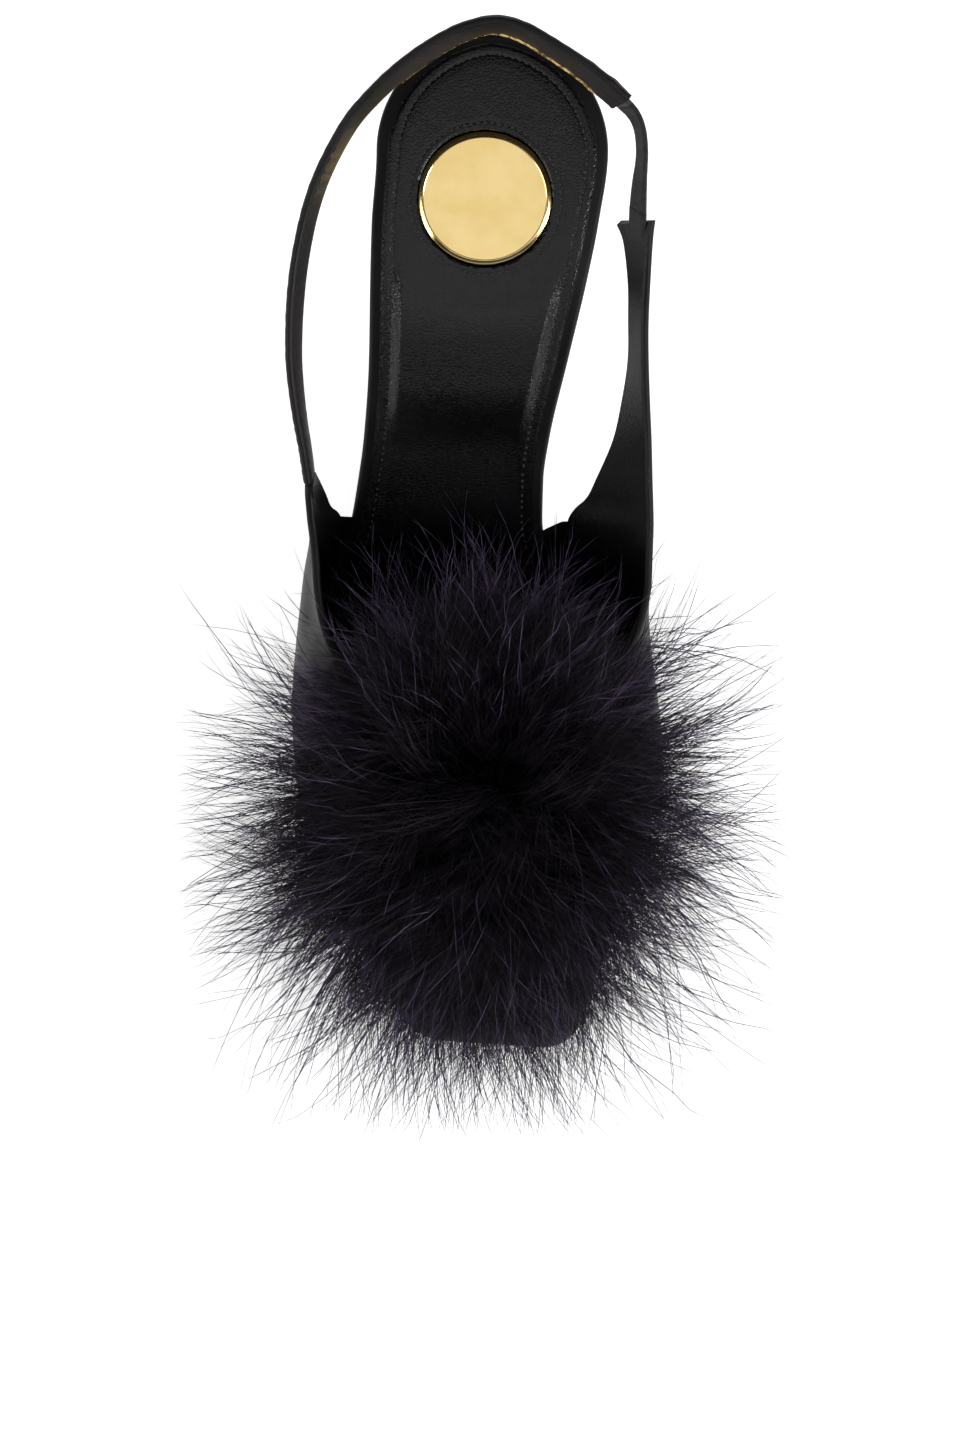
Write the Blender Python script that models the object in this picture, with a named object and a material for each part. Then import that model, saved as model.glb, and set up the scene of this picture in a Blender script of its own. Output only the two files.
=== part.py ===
"""A right-foot heeled slingback slipper with a closed square toe and a marabou pompom.

Metres, +Z up. The toe points along -Y and the inner side of the foot along +X. The origin is on
the floor, on the flat tread of the sole. A share along the shoe runs from 0 at the back of the
heel to 1 at the toe, and a share across is measured from the shoe's axis, + to the inner side.
"""

import math
import random

import bmesh
import bpy
from mathutils import Matrix, Vector
from mathutils.bvhtree import BVHTree

# Driving sizes of the last
foot_length = 0.2205
ball_width = 0.0758
waist_width = 0.0413
seat_width = 0.0506
toe_width = 0.0380
toe_corner_radius = 0.0045
corner_span = 1.3
toe_slant = 0.067
seat_height = 0.064
instep_height = 0.045
tread_share = 0.7400
breast_share = 0.215
waist_end_share = 0.46
ball_start_share = 0.58
toe_start_share = 0.85
round_start_share = 0.002
round_end_share = 0.115
body_start_share = 0.135
body_end_share = 0.960

# Thicknesses and clearances
outsole_thickness = 0.0025
sole_margin = 0.0012
waist_inset = 0.0006
board_edge_share = 0.3
board_thickness = 0.0022
sock_thickness = 0.0030
sock_back_share = 0.45
sock_roll_back = 0.0026
rim_reveal = 0.0024
sock_toe_gap = 0.0040
upper_wall = 0.0018
clearance = 0.0003
board_gap = 0.0007

# Heel
heel_inset = 0.0008
tip_width = 0.0110
tip_depth = 0.0105
tip_share = 0.085
top_piece_height = 0.0050

# Resolution of the curved walls
round_rings = 9
body_rings = 26
corner_rings = 6
edge_steps = 40
heel_steps = 11
columns_per_row = 3
section_steps = 8
strip_steps = 2
disc_sectors = 48

# Strap, elastic and disc
strap_width = 0.0070
strap_middle_share = 0.17
strap_thickness = 0.0018
elastic_width = 0.0050
elastic_thickness = 0.0011
strip_softness = 0.35
disc_diameter = 0.0290
disc_thickness = 0.0013
disc_bevel = 0.0004
disc_share = 0.162
disc_across = 0.0003
recess_depth = 0.0010

# Pompom
pompom_length = 0.0860
pompom_width = 0.0760
pompom_rise = 0.0340
pompom_share = 0.745
footprint_middle = 0.815
footprint_share = 0.60
lock_length = 0.0290
lock_width = 0.0140
lock_flatness = 0.45
lock_faces = 6
lock_steps = 4
lock_taper = 0.88
lock_taper_power = 1.6
lock_root_share = 0.78
lock_back_lift = 20
lock_place_spread = 0.35
lock_heading_spread = 0.25
lock_tilt_spread = 4
lock_length_spread = 0.15
lock_curl = 0.2
mound_fill = 0.5
pompom_sectors = 32
pompom_seat_gap = 0.0008

# Board outline and the rise of the sole: the sides are shares of the width named in the row, and
# the rise is a share of the seat height.
# along, outer side, inner side, width
OUTLINE_ROWS = (
    (0.000, -0.462, 0.538, "seat"),
    (0.115, -0.462, 0.538, "seat"),
    (0.184, -0.484, 0.498, "seat"),
    (0.240, -0.492, 0.449, "seat"),
    (0.316, -0.613, 0.453, "waist"),
    (0.394, -0.646, 0.354, "waist"),
    (0.433, -0.678, 0.324, "waist"),
    (0.473, -0.719, 0.320, "waist"),
    (0.522, -0.435, 0.211, "ball"),
    (0.576, -0.485, 0.310, "ball"),
    (0.626, -0.517, 0.402, "ball"),
    (0.673, -0.530, 0.467, "ball"),
    (0.726, -0.525, 0.492, "ball"),
    (0.780, -0.495, 0.456, "ball"),
    (0.839, -0.435, 0.394, "ball"),
    (0.898, -0.711, 0.668, "toe"),
    (0.943, -0.568, 0.592, "toe"),
    (0.980, -0.442, 0.518, "toe"),
    (1.000, -0.370, 0.480, "toe"),
)

# Shares where the flat tread starts and ends
FLAT_TREAD_SHARES = (0.690, 0.810)

# along, rise
RISE_ROWS = (
    (0.000, 1.000),
    (0.110, 0.945),
    (0.225, 0.855),
    (0.340, 0.680),
    (0.455, 0.436),
    (0.520, 0.280),
    (0.580, 0.150),
    (0.630, 0.062),
    (0.665, 0.016),
    (0.690, 0.000),
    (0.810, 0.000),
    (0.850, 0.004),
    (0.920, 0.030),
    (1.000, 0.085),
)

# Across the sock: share of its width and share of its thickness
SOCK_ROWS = (
    (0.00, 0.35),
    (0.05, 0.80),
    (0.14, 1.00),
    (0.30, 1.00),
    (0.50, 1.00),
    (0.70, 1.00),
    (0.86, 1.00),
    (0.95, 0.80),
    (1.00, 0.35),
)

# Sections of the upper whose lower edge is free: first the outer quarter from the strap forward,
# then the inner quarter back to its sleeve. Lifts are shares of the instep height over the sole's
# lower face. Fullness pushes the section outwards, in shares of the instep height.
# top along, top across, top lift, low along, low across, low lift, fullness
OUTER_FREE_ROWS = (
    (0.4450, -0.5150, 0.754, 0.4320, -0.5090, 0.596, 0.00),
    (0.4540, -0.5155, 0.747, 0.4510, -0.4790, 0.474, 0.01),
    (0.4670, -0.5130, 0.757, 0.4620, -0.4600, 0.355, 0.02),
    (0.4800, -0.5100, 0.765, 0.4710, -0.4350, 0.225, 0.03),
)
INNER_FREE_ROWS = (
    (0.4840, 0.491, 0.740, 0.4760, 0.2550, 0.270, 0.00),
    (0.4625, 0.489, 0.727, 0.4565, 0.3080, 0.338, 0.00),
    (0.4400, 0.486, 0.716, 0.4370, 0.3430, 0.396, 0.00),
    (0.4010, 0.482, 0.696, 0.3990, 0.3940, 0.432, 0.00),
    (0.3630, 0.476, 0.693, 0.3600, 0.4200, 0.452, 0.00),
    (0.3250, 0.471, 0.707, 0.3220, 0.4355, 0.500, 0.00),
    (0.2880, 0.469, 0.727, 0.2850, 0.4350, 0.532, 0.00),
    (0.2500, 0.472, 0.760, 0.2480, 0.4310, 0.577, 0.00),
    (0.2130, 0.476, 0.789, 0.2100, 0.4130, 0.641, 0.00),
    (0.1940, 0.481, 0.795, 0.1920, 0.3890, 0.662, 0.00),
)

# Sections of the upper that end at the board's edge, round the toe. The edge share runs along
# that edge from the outer waist round the toe to the inner waist. Reach is how far the section
# runs level from the topline, fall how steeply it drops there, rise how high it stands on the
# sole before it turns, all shares of the section's own run and height.
# top along, top across, top lift, edge, reach, fall, rise, fullness
LASTED_ROWS = (
    (0.492, -0.506, 0.771, 0.005, 0.05, 0.35, 0.35, 0.04),
    (0.518, -0.498, 0.790, 0.065, 0.05, 0.35, 0.35, 0.07),
    (0.550, -0.494, 0.822, 0.140, 0.10, 0.35, 0.38, 0.08),
    (0.585, -0.475, 0.868, 0.215, 0.15, 0.35, 0.40, 0.08),
    (0.615, -0.435, 0.915, 0.285, 0.25, 0.34, 0.42, 0.08),
    (0.637, -0.360, 0.955, 0.350, 0.36, 0.33, 0.45, 0.06),
    (0.650, -0.265, 0.985, 0.400, 0.44, 0.34, 0.47, 0.05),
    (0.657, -0.170, 1.010, 0.438, 0.50, 0.36, 0.48, 0.04),
    (0.661, -0.085, 1.028, 0.470, 0.53, 0.38, 0.46, 0.03),
    (0.662, 0.010, 1.034, 0.505, 0.54, 0.38, 0.46, 0.03),
    (0.661, 0.100, 1.028, 0.545, 0.53, 0.38, 0.46, 0.03),
    (0.657, 0.180, 1.010, 0.577, 0.50, 0.36, 0.48, 0.04),
    (0.649, 0.265, 0.985, 0.615, 0.44, 0.34, 0.47, 0.05),
    (0.637, 0.345, 0.955, 0.665, 0.36, 0.33, 0.45, 0.06),
    (0.615, 0.415, 0.915, 0.730, 0.25, 0.34, 0.42, 0.08),
    (0.585, 0.462, 0.868, 0.800, 0.15, 0.35, 0.40, 0.08),
    (0.550, 0.487, 0.822, 0.870, 0.10, 0.35, 0.38, 0.06),
    (0.518, 0.491, 0.782, 0.935, 0.05, 0.35, 0.35, 0.02),
    (0.500, 0.491, 0.758, 0.985, 0.05, 0.35, 0.35, 0.00),
)
lasted_start = 0.482
lasted_end = 0.486
side_section_reach = 0.08

# Strap from the outer quarter round the heel: lean is how far its upper edge tips outwards, in
# degrees.
# along, across, lift, lean
STRAP_ROWS = (
    (0.4355, -0.5030, 0.676, 10),
    (0.4100, -0.5123, 0.674, 12),
    (0.3816, -0.5251, 0.672, 15),
    (0.3530, -0.5349, 0.671, 18),
    (0.3245, -0.5406, 0.671, 20),
    (0.2959, -0.5393, 0.672, 21),
    (0.2676, -0.5338, 0.676, 22),
    (0.2395, -0.5239, 0.686, 22),
    (0.2114, -0.5085, 0.704, 21),
    (0.1833, -0.4877, 0.732, 20),
    (0.1556, -0.4583, 0.770, 19),
    (0.1282, -0.4178, 0.815, 18),
    (0.1010, -0.3662, 0.868, 18),
    (0.0798, -0.3075, 0.925, 18),
    (0.0600, -0.2400, 0.985, 20),
    (0.0419, -0.1640, 1.035, 21),
    (0.0271, -0.0850, 1.085, 19),
    (0.0195, -0.0200, 1.120, 17),
    (0.0168, 0.0420, 1.138, 16),
    (0.0231, 0.1113, 1.136, 17),
    (0.0386, 0.1927, 1.113, 19),
    (0.0562, 0.2740, 1.080, 21),
    (0.0715, 0.3310, 1.055, 24),
    (0.0872, 0.3830, 1.030, 26),
)

# along, across, lift, lean
ELASTIC_ROWS = (
    (0.0900, 0.3930, 1.022, 24),
    (0.0973, 0.4140, 1.003, 22),
    (0.1060, 0.4290, 0.984, 20),
    (0.1170, 0.4385, 0.955, 20),
    (0.1304, 0.4426, 0.925, 21),
    (0.1440, 0.4419, 0.898, 24),
    (0.1575, 0.4385, 0.868, 31),
    (0.1710, 0.4360, 0.835, 36),
    (0.1850, 0.4345, 0.800, 41),
)

# down the heel, width and depth as shares of the way from the seat to the tip
HEEL_ROWS = (
    (0.00, 0.00, 0.00),
    (0.05, 0.09, 0.08),
    (0.13, 0.33, 0.30),
    (0.24, 0.60, 0.56),
    (0.40, 0.81, 0.78),
    (0.60, 0.93, 0.91),
    (0.80, 0.98, 0.97),
    (1.00, 1.00, 1.00),
)

# Rings of the pompom from the vamp up: height and breadth as shares, and how far the ring has
# moved from the footprint's middle to the pompom's own
# height, breadth, move
POMPOM_ROWS = (
    (0.10, 0.72, 0.20),
    (0.26, 0.88, 0.55),
    (0.46, 0.98, 0.85),
    (0.66, 0.94, 1.00),
    (0.84, 0.74, 1.00),
    (0.95, 0.46, 1.00),
)

# Rings of the underside, as shares of the footprint
POMPOM_SEAT_SHARES = (0.08, 0.25, 0.45, 0.65, 0.84, 1.0)

# Rings of locks on the pompom: height share, number, length as a share of the lock length,
# upward tilt at the root in degrees, droop as a share of the length
LOCK_ROWS = (
    (0.20, 16, 1.00, 2, 0.14),
    (0.42, 17, 1.05, 14, 0.22),
    (0.64, 13, 1.00, 34, 0.26),
    (0.86, 8, 0.78, 52, 0.22),
)
LOCK_SEED = 11


def monotone(rows, column, position):
    """Smooth value of one column at a position, without overshoot."""
    xs = [row[0] for row in rows]
    ys = [row[column] for row in rows]
    last = len(xs) - 1
    if position <= xs[0]:
        return ys[0]
    if position >= xs[last]:
        return ys[last]
    steps = [xs[i + 1] - xs[i] for i in range(last)]
    rates = [(ys[i + 1] - ys[i]) / steps[i] for i in range(last)]
    slopes = [rates[0]]
    for i in range(1, last):
        if rates[i - 1] * rates[i] <= 0:
            slopes.append(0.0)
            continue
        first = 2 * steps[i] + steps[i - 1]
        second = steps[i] + 2 * steps[i - 1]
        slopes.append((first + second) / (first / rates[i - 1] + second / rates[i]))
    slopes.append(rates[-1])
    i = 0
    while position > xs[i + 1]:
        i += 1
    t = (position - xs[i]) / steps[i]
    start = (2 * t ** 3 - 3 * t ** 2 + 1) * ys[i] + (t ** 3 - 2 * t ** 2 + t) * steps[i] * slopes[i]
    end = (3 * t ** 2 - 2 * t ** 3) * ys[i + 1] + (t ** 3 - t ** 2) * steps[i] * slopes[i + 1]
    return start + end


def ramp(start, end, value):
    """0 before start, 1 after end, smooth between."""
    t = min(max((value - start) / (end - start), 0.0), 1.0)
    return t * t * (3 - 2 * t)


def through(points, steps):
    """A smooth run of points through the given ones, with some steps between each two."""
    run = []
    last = len(points) - 1
    for i in range(last):
        before = points[max(i - 1, 0)]
        start, end = points[i], points[i + 1]
        after = points[min(i + 2, last)]
        for k in range(steps):
            t = k / steps
            run.append(0.5 * (2 * start + (end - before) * t
                              + (2 * before - 5 * start + 4 * end - after) * t * t
                              + (3 * start - before - 3 * end + after) * t ** 3))
    run.append(points[last].copy())
    return run


def rise(along):
    """Height of the sole's lower face over the floor."""
    return seat_height * monotone(RISE_ROWS, 1, along)


def board_underside(along):
    return rise(along) + outsole_thickness + clearance


def board_top(along):
    return board_underside(along) + board_thickness


def sock_top(along):
    return board_top(along) + clearance + sock_thickness


def place(along, x, z):
    """A point from its share along the shoe and its real place across and up."""
    slant = toe_slant * x * ramp(toe_start_share, 1.0, along)
    y = (tread_share - along) * foot_length - slant
    return Vector((x, y, z))


def on_last(along, across, lift):
    """A point from three shares: along, across the ball and up the instep."""
    return place(along, across * ball_width, rise(along) + lift * instep_height)


def board_sides(along, inset=0.0):
    """Outer and inner side of the board, with a round heel and rounded toe corners."""
    widths = {"seat": seat_width, "waist": waist_width, "ball": ball_width, "toe": toe_width}
    rows = [(row[0], row[1] * widths[row[3]], row[2] * widths[row[3]]) for row in OUTLINE_ROWS]
    outer = monotone(rows, 1, along)
    inner = monotone(rows, 2, along)
    middle = (outer + inner) / 2
    half = (inner - outer) / 2
    back = along * foot_length - inset
    radius = seat_width / 2
    if back < radius:
        half *= math.sqrt(max(1 - (1 - back / radius) ** 2, 0.0))
    front = toe_corner_radius - (foot_length - inset - along * foot_length)
    if front > 0:
        corner = math.sqrt(max(toe_corner_radius ** 2 - front ** 2, 0.0))
        half -= toe_corner_radius - corner
    return middle - half + inset, middle + half - inset


def shares_between(start, end, count, spread_start, spread_end):
    """Shares from start to end, crowded where an end is round."""
    shares = []
    for i in range(count + 1):
        t = i / count
        if spread_start and spread_end:
            t = (1 - math.cos(t * math.pi)) / 2
        elif spread_start:
            t = 1 - math.cos(t * math.pi / 2)
        elif spread_end:
            t = math.sin(t * math.pi / 2)
        shares.append(start + (end - start) * t)
    return shares


def corner_shares():
    """Shares round the toe's corners, up to the very end."""
    corner = corner_span * toe_corner_radius / foot_length
    return shares_between(1 - corner, 1.0, corner_rings, False, True)


def material(name, colour, roughness, metallic=0.0):
    made = bpy.data.materials.new(name)
    made.use_nodes = True
    shader = made.node_tree.nodes["Principled BSDF"]
    shader.inputs["Base Color"].default_value = (*colour, 1.0)
    shader.inputs["Roughness"].default_value = roughness
    shader.inputs["Metallic"].default_value = metallic
    return made


def add_object(name, mesh_data, finish, smooth_angle=35):
    """Turn a bmesh into a named object with its faces pointing out."""
    bmesh.ops.recalc_face_normals(mesh_data, faces=mesh_data.faces)
    mesh = bpy.data.meshes.new(name)
    mesh_data.to_mesh(mesh)
    mesh_data.free()
    mesh.shade_smooth()
    mesh.set_sharp_from_angle(angle=math.radians(smooth_angle))
    mesh.materials.append(finish)
    made = bpy.data.objects.new(name, mesh)
    bpy.context.scene.collection.objects.link(made)
    return made


def loft(rings):
    """A closed skin through rings of equally many points, with a flat cap at each end."""
    made = bmesh.new()
    loops = [[made.verts.new(point) for point in ring] for ring in rings]
    for first, second in zip(loops, loops[1:]):
        count = len(first)
        for i in range(count):
            j = (i + 1) % count
            made.faces.new((first[i], first[j], second[j], second[i]))
    made.faces.new(loops[0][::-1])
    made.faces.new(loops[-1])
    return made


def build_outsole(finish):
    """The thin sole, from the heel breast to just past the board's toe."""
    rings = []
    start = breast_share + clearance / foot_length
    body = shares_between(start, body_end_share, body_rings, False, False)
    shares = sorted(body + list(FLAT_TREAD_SHARES)) + corner_shares()
    for along in shares:
        widening = ramp(waist_end_share, ball_start_share, along)
        margin = -waist_inset + (sole_margin + waist_inset) * widening
        outer, inner = board_sides(along)
        forward = Vector((0.0, -sole_margin * ramp(toe_start_share, 1.0, along), 0.0))
        low = rise(along)
        high = low + outsole_thickness
        rings.append([place(along, outer - margin, low) + forward,
                      place(along, inner + margin, low) + forward,
                      place(along, inner + margin, high) + forward,
                      place(along, outer - margin, high) + forward])
    return add_object("outsole", loft(rings), finish)


def build_board(finish):
    """The stiff board, whose covered rim shows round the sock."""
    shares = shares_between(round_start_share, round_end_share, round_rings, True, False)
    shares += shares_between(body_start_share, body_end_share, body_rings, False, False)
    shares += corner_shares()
    rings = []
    for along in shares:
        outer, inner = board_sides(along)
        low = board_underside(along)
        high = board_top(along)
        edge = board_thickness * board_edge_share
        rings.append([place(along, outer + edge, low),
                      place(along, inner - edge, low),
                      place(along, inner, low + edge),
                      place(along, inner, high - edge),
                      place(along, inner - edge, high),
                      place(along, outer + edge, high),
                      place(along, outer, high - edge),
                      place(along, outer, low + edge)])
    return add_object("insole_board", loft(rings), finish)


def build_sock(finish):
    """The padded leather sock, rolled at its edge, with a round seat for the disc."""
    inset = rim_reveal / foot_length
    front = 1 - (sock_toe_gap + rim_reveal) / foot_length
    start = round_start_share + inset
    shares = shares_between(start, round_end_share, round_rings, True, False)
    shares += shares_between(body_start_share, body_end_share, body_rings, False, False)
    shares.append(front)
    rings = []
    for along in shares:
        outer, inner = board_sides(along, rim_reveal)
        low = board_top(along) + clearance
        rolled = ramp(0.0, sock_roll_back, (along - shares[0]) * foot_length)
        height = sock_thickness * (sock_back_share + (1 - sock_back_share) * rolled)
        upper_row = [place(along, outer + (inner - outer) * across, low + height * crown)
                     for across, crown in SOCK_ROWS]
        rings.append([place(along, outer, low)] + upper_row + [place(along, inner, low)])
    sock = add_object("sock_lining", loft(rings), finish)

    centre, turn = disc_seat()
    cutter_mesh = bmesh.new()
    height = 4 * sock_thickness
    radius = disc_diameter / 2 + clearance
    bmesh.ops.create_cone(cutter_mesh, cap_ends=True, segments=disc_sectors, depth=height,
                          radius1=radius, radius2=radius)
    cutter = add_object("disc_seat_cutter", cutter_mesh, finish)
    cutter.matrix_world = turn.to_4x4()
    cutter.location = centre + turn @ Vector((0, 0, height / 2 - recess_depth))
    cutter.hide_render = True
    cutter.display_type = "WIRE"
    cut = sock.modifiers.new("disc seat", "BOOLEAN")
    cut.operation = "DIFFERENCE"
    cut.solver = "EXACT"
    cut.object = cutter
    return sock


def disc_seat():
    """Middle of the disc on the sock's surface, and the turn that lays it there."""
    span = disc_diameter / 2 / foot_length
    back = place(disc_share - span, disc_across, sock_top(disc_share - span))
    front = place(disc_share + span, disc_across, sock_top(disc_share + span))
    slope = math.atan2(back.z - front.z, back.y - front.y)
    turn = Matrix.Rotation(slope, 3, "X")
    return (back + front) / 2, turn


def build_disc(finish):
    """A plain turned disc with a bevelled rim, set in the sock."""
    centre, turn = disc_seat()
    radius = disc_diameter / 2
    low = clearance - recess_depth
    high = low + disc_thickness
    profile = ((radius - disc_bevel / 2, low), (radius, low + disc_bevel / 2),
               (radius, high - disc_bevel), (radius - disc_bevel, high))
    angles = [k * math.tau / disc_sectors for k in range(disc_sectors)]
    rings = []
    for reach, z in profile:
        rings.append([centre + turn @ Vector((reach * math.cos(angle), reach * math.sin(angle), z))
                      for angle in angles])
    return add_object("medallion", loft(rings), finish)


def heel_outline():
    """The seat's outline from the breast round the back, as shares along and real sides."""
    start = round_start_share + heel_inset / foot_length
    shares = shares_between(start, breast_share, heel_steps, True, False)
    outer = [(along, board_sides(along, heel_inset)[0]) for along in reversed(shares)]
    inner = [(along, board_sides(along, heel_inset)[1]) for along in shares]
    return outer + inner


def build_heel(finish):
    """The covered heel: the seat's outline at the top, drawn in to the tip."""
    outline = heel_outline()
    seat_middle = Vector((disc_across, (tread_share - breast_share / 2) * foot_length, 0))
    tip_middle = Vector((disc_across, (tread_share - tip_share) * foot_length, 0))
    widest = seat_width - 2 * heel_inset
    deepest = breast_share * foot_length
    foot = top_piece_height + clearance
    rings = []
    for down, narrow, shallow in HEEL_ROWS:
        width_share = 1 + (tip_width / widest - 1) * narrow
        depth_share = 1 + (tip_depth / deepest - 1) * shallow
        middle = seat_middle.lerp(tip_middle, shallow)
        ring = []
        for along, x in outline:
            seat = place(along, x, board_underside(along) - clearance)
            ring.append(Vector((middle.x + (seat.x - seat_middle.x) * width_share,
                                middle.y + (seat.y - seat_middle.y) * depth_share,
                                foot + (seat.z - foot) * (1 - down))))
        rings.append(ring)
    return add_object("heel", loft(rings), finish)


def build_top_piece(finish):
    """The rubber tip under the heel, on the floor."""
    seat_middle = Vector((disc_across, (tread_share - breast_share / 2) * foot_length, 0))
    tip_middle = Vector((disc_across, (tread_share - tip_share) * foot_length, 0))
    width_share = tip_width / (seat_width - 2 * heel_inset)
    depth_share = tip_depth / (breast_share * foot_length)
    rings = []
    for z in (0.0, top_piece_height):
        ring = []
        for along, x in heel_outline():
            seat = place(along, x, 0)
            ring.append(Vector((tip_middle.x + (seat.x - seat_middle.x) * width_share,
                                tip_middle.y + (seat.y - seat_middle.y) * depth_share, z)))
        rings.append(ring)
    return add_object("heel_top_piece", loft(rings), finish)


def lasted_edge():
    """Where the upper's outer face meets the sole: the board's edge, moved out by the wall."""
    corner = corner_shares()
    sides = shares_between(lasted_start, corner[0], edge_steps, False, False) + corner[1:]
    path = [place(along, board_sides(along)[0], 0) for along in sides]
    back = [along for along in reversed(sides) if along > lasted_end]
    path += [place(along, board_sides(along)[1], 0) for along in back]
    offset = upper_wall + board_gap
    moved = []
    for i, point in enumerate(path):
        run = path[min(i + 2, len(path) - 1)] - path[max(i - 2, 0)]
        outward = Vector((run.y, -run.x, 0)).normalized()
        moved.append(point + outward * offset)
    lengths = [0.0]
    for first, second in zip(moved, moved[1:]):
        lengths.append(lengths[-1] + (second - first).length)
    return moved, lengths


def edge_point(edge, share):
    """A point at a share of the lasted edge's length, and the outward direction there."""
    points, lengths = edge
    goal = share * lengths[-1]
    i = 0
    while i < len(lengths) - 2 and lengths[i + 1] < goal:
        i += 1
    t = (goal - lengths[i]) / (lengths[i + 1] - lengths[i])
    point = points[i].lerp(points[i + 1], t)
    run = points[min(i + 3, len(points) - 1)] - points[max(i - 2, 0)]
    along = min(tread_share - point.y / foot_length, 1.0)
    point.z = rise(along) + outsole_thickness + clearance
    return point, Vector((run.y, -run.x, 0)).normalized()


def free_section(row):
    """Control points of a section whose lower edge is free."""
    top = on_last(*row[0:3])
    low = on_last(*row[3:6])
    side = Vector((math.copysign(row[6] * instep_height, top.x), 0, 0))
    return [top, top.lerp(low, 1 / 3) + side, top.lerp(low, 2 / 3) + side, low]


def lasted_section(row, edge):
    """Control points of a section that comes down to the board's edge."""
    top = on_last(*row[0:3])
    low, outward = edge_point(edge, row[3])
    reach, fall, stand, fullness = row[4:8]
    drop = Vector((0, 0, top.z - low.z))
    level = Vector((low.x - top.x, low.y - top.y, 0))
    bulge = outward * fullness * instep_height
    if reach < side_section_reach:
        return [top, top.lerp(low, 1 / 3) + bulge, top.lerp(low, 2 / 3) + bulge, low]
    return [top, top + level * reach - drop * fall, low + drop * stand + bulge, low]


def upper_sections():
    """Control points of each section of the upper, from the strap round to the sleeve."""
    edge = lasted_edge()
    sections = [free_section(row) for row in OUTER_FREE_ROWS]
    sections += [lasted_section(row, edge) for row in LASTED_ROWS]
    sections += [free_section(row) for row in INNER_FREE_ROWS]
    columns = [through([section[k] for section in sections], columns_per_row) for k in range(4)]
    shares = through([Vector((row[3], 0, 0)) for row in LASTED_ROWS], columns_per_row)
    first = len(OUTER_FREE_ROWS) * columns_per_row
    for i, share in enumerate(shares):
        low = edge_point(edge, share.x)[0]
        moved = low - columns[3][first + i]
        columns[3][first + i] = low
        columns[2][first + i] += moved
    for column in columns[2:]:
        ease_joint(column, first)
        ease_joint(column, first + len(shares) - 1)
    return list(zip(*columns))


def ease_joint(column, joint):
    """Even out a run of points where the free edge meets the edge under the board."""
    for _ in range(columns_per_row):
        before = [point.copy() for point in column]
        for i in range(joint - columns_per_row, joint + columns_per_row + 1):
            column[i] = before[i] * 0.5 + (before[i - 1] + before[i + 1]) * 0.25


def build_upper(finish):
    """One wall of real thickness, swept from the strap joint round the toe to the sleeve."""
    grid = []
    for top, shoulder, foot, low in upper_sections():
        section = []
        for i in range(section_steps + 1):
            t = i / section_steps
            s = 1 - t
            section.append(top * s ** 3 + shoulder * 3 * s * s * t + foot * 3 * s * t * t
                           + low * t ** 3)
        grid.append(section)
    rings = []
    last = len(grid) - 1
    for i, section in enumerate(grid):
        lining = []
        for k, point in enumerate(section):
            across = grid[min(i + 1, last)][k] - grid[max(i - 1, 0)][k]
            down = section[min(k + 1, section_steps)] - section[max(k - 1, 0)]
            lining.append(point + across.cross(down).normalized() * upper_wall)
        lining[-1].z = max(lining[-1].z, section[-1].z)
        rings.append(section + lining[::-1])
    return add_object("upper", loft(rings), finish)


def sweep(name, rows, width, thickness, finish):
    """A flat strip with soft edges along a table of places and leans."""
    path = through([on_last(*row[0:3]) for row in rows], strip_steps)
    leans = through([Vector((row[3], 0, 0)) for row in rows], strip_steps)
    soft = thickness * strip_softness
    half_width, half_thickness = width / 2, thickness / 2
    shape = ((-half_width, -half_thickness + soft), (-half_width + soft, -half_thickness),
             (half_width - soft, -half_thickness), (half_width, -half_thickness + soft),
             (half_width, half_thickness - soft), (half_width - soft, half_thickness),
             (-half_width + soft, half_thickness), (-half_width, half_thickness - soft))
    rings = []
    for i, point in enumerate(path):
        run = (path[min(i + 1, len(path) - 1)] - path[max(i - 1, 0)]).normalized()
        outward = Vector((-run.y, run.x, 0)).normalized()
        if outward.dot(Vector((point.x, point.y - strap_middle_y(), 0))) < 0:
            outward = -outward
        upward = outward.cross(run).normalized()
        if upward.z < 0:
            upward = -upward
        lean = math.radians(leans[i].x)
        rise_line = upward * math.cos(lean) + outward * math.sin(lean)
        out_line = outward * math.cos(lean) - upward * math.sin(lean)
        rings.append([point + rise_line * a + out_line * b for a, b in shape])
    return add_object(name, loft(rings), finish)


def strap_middle_y():
    """Where along the shoe the strap's loop has its middle."""
    return (tread_share - strap_middle_share) * foot_length


def drop_to_upper(tree, x, y):
    """Height of the vamp under a point, or None past its edge."""
    hit = tree.ray_cast(Vector((x, y, 2 * instep_height)), Vector((0, 0, -1)))
    return hit[0].z if hit[0] is not None else None


def pompom_frame(upper):
    """What the pompom's rings are placed by: the vamp below it and the top of the mound."""
    source = bmesh.new()
    source.from_mesh(upper.data)
    tree = BVHTree.FromBMesh(source)
    source.free()
    seat_y = (tread_share - footprint_middle) * foot_length
    top = drop_to_upper(tree, 0, seat_y) + pompom_rise
    return tree, seat_y, top


def seat_point(frame, angle, share):
    """A point of the pompom's underside, a share of the way out to the footprint's edge."""
    tree, seat_y, _ = frame
    x = pompom_width / 2 * footprint_share * share * math.cos(angle)
    y = seat_y + pompom_length / 2 * footprint_share * share * math.sin(angle)
    return Vector((x, y, drop_to_upper(tree, x, y) + pompom_seat_gap))


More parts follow.
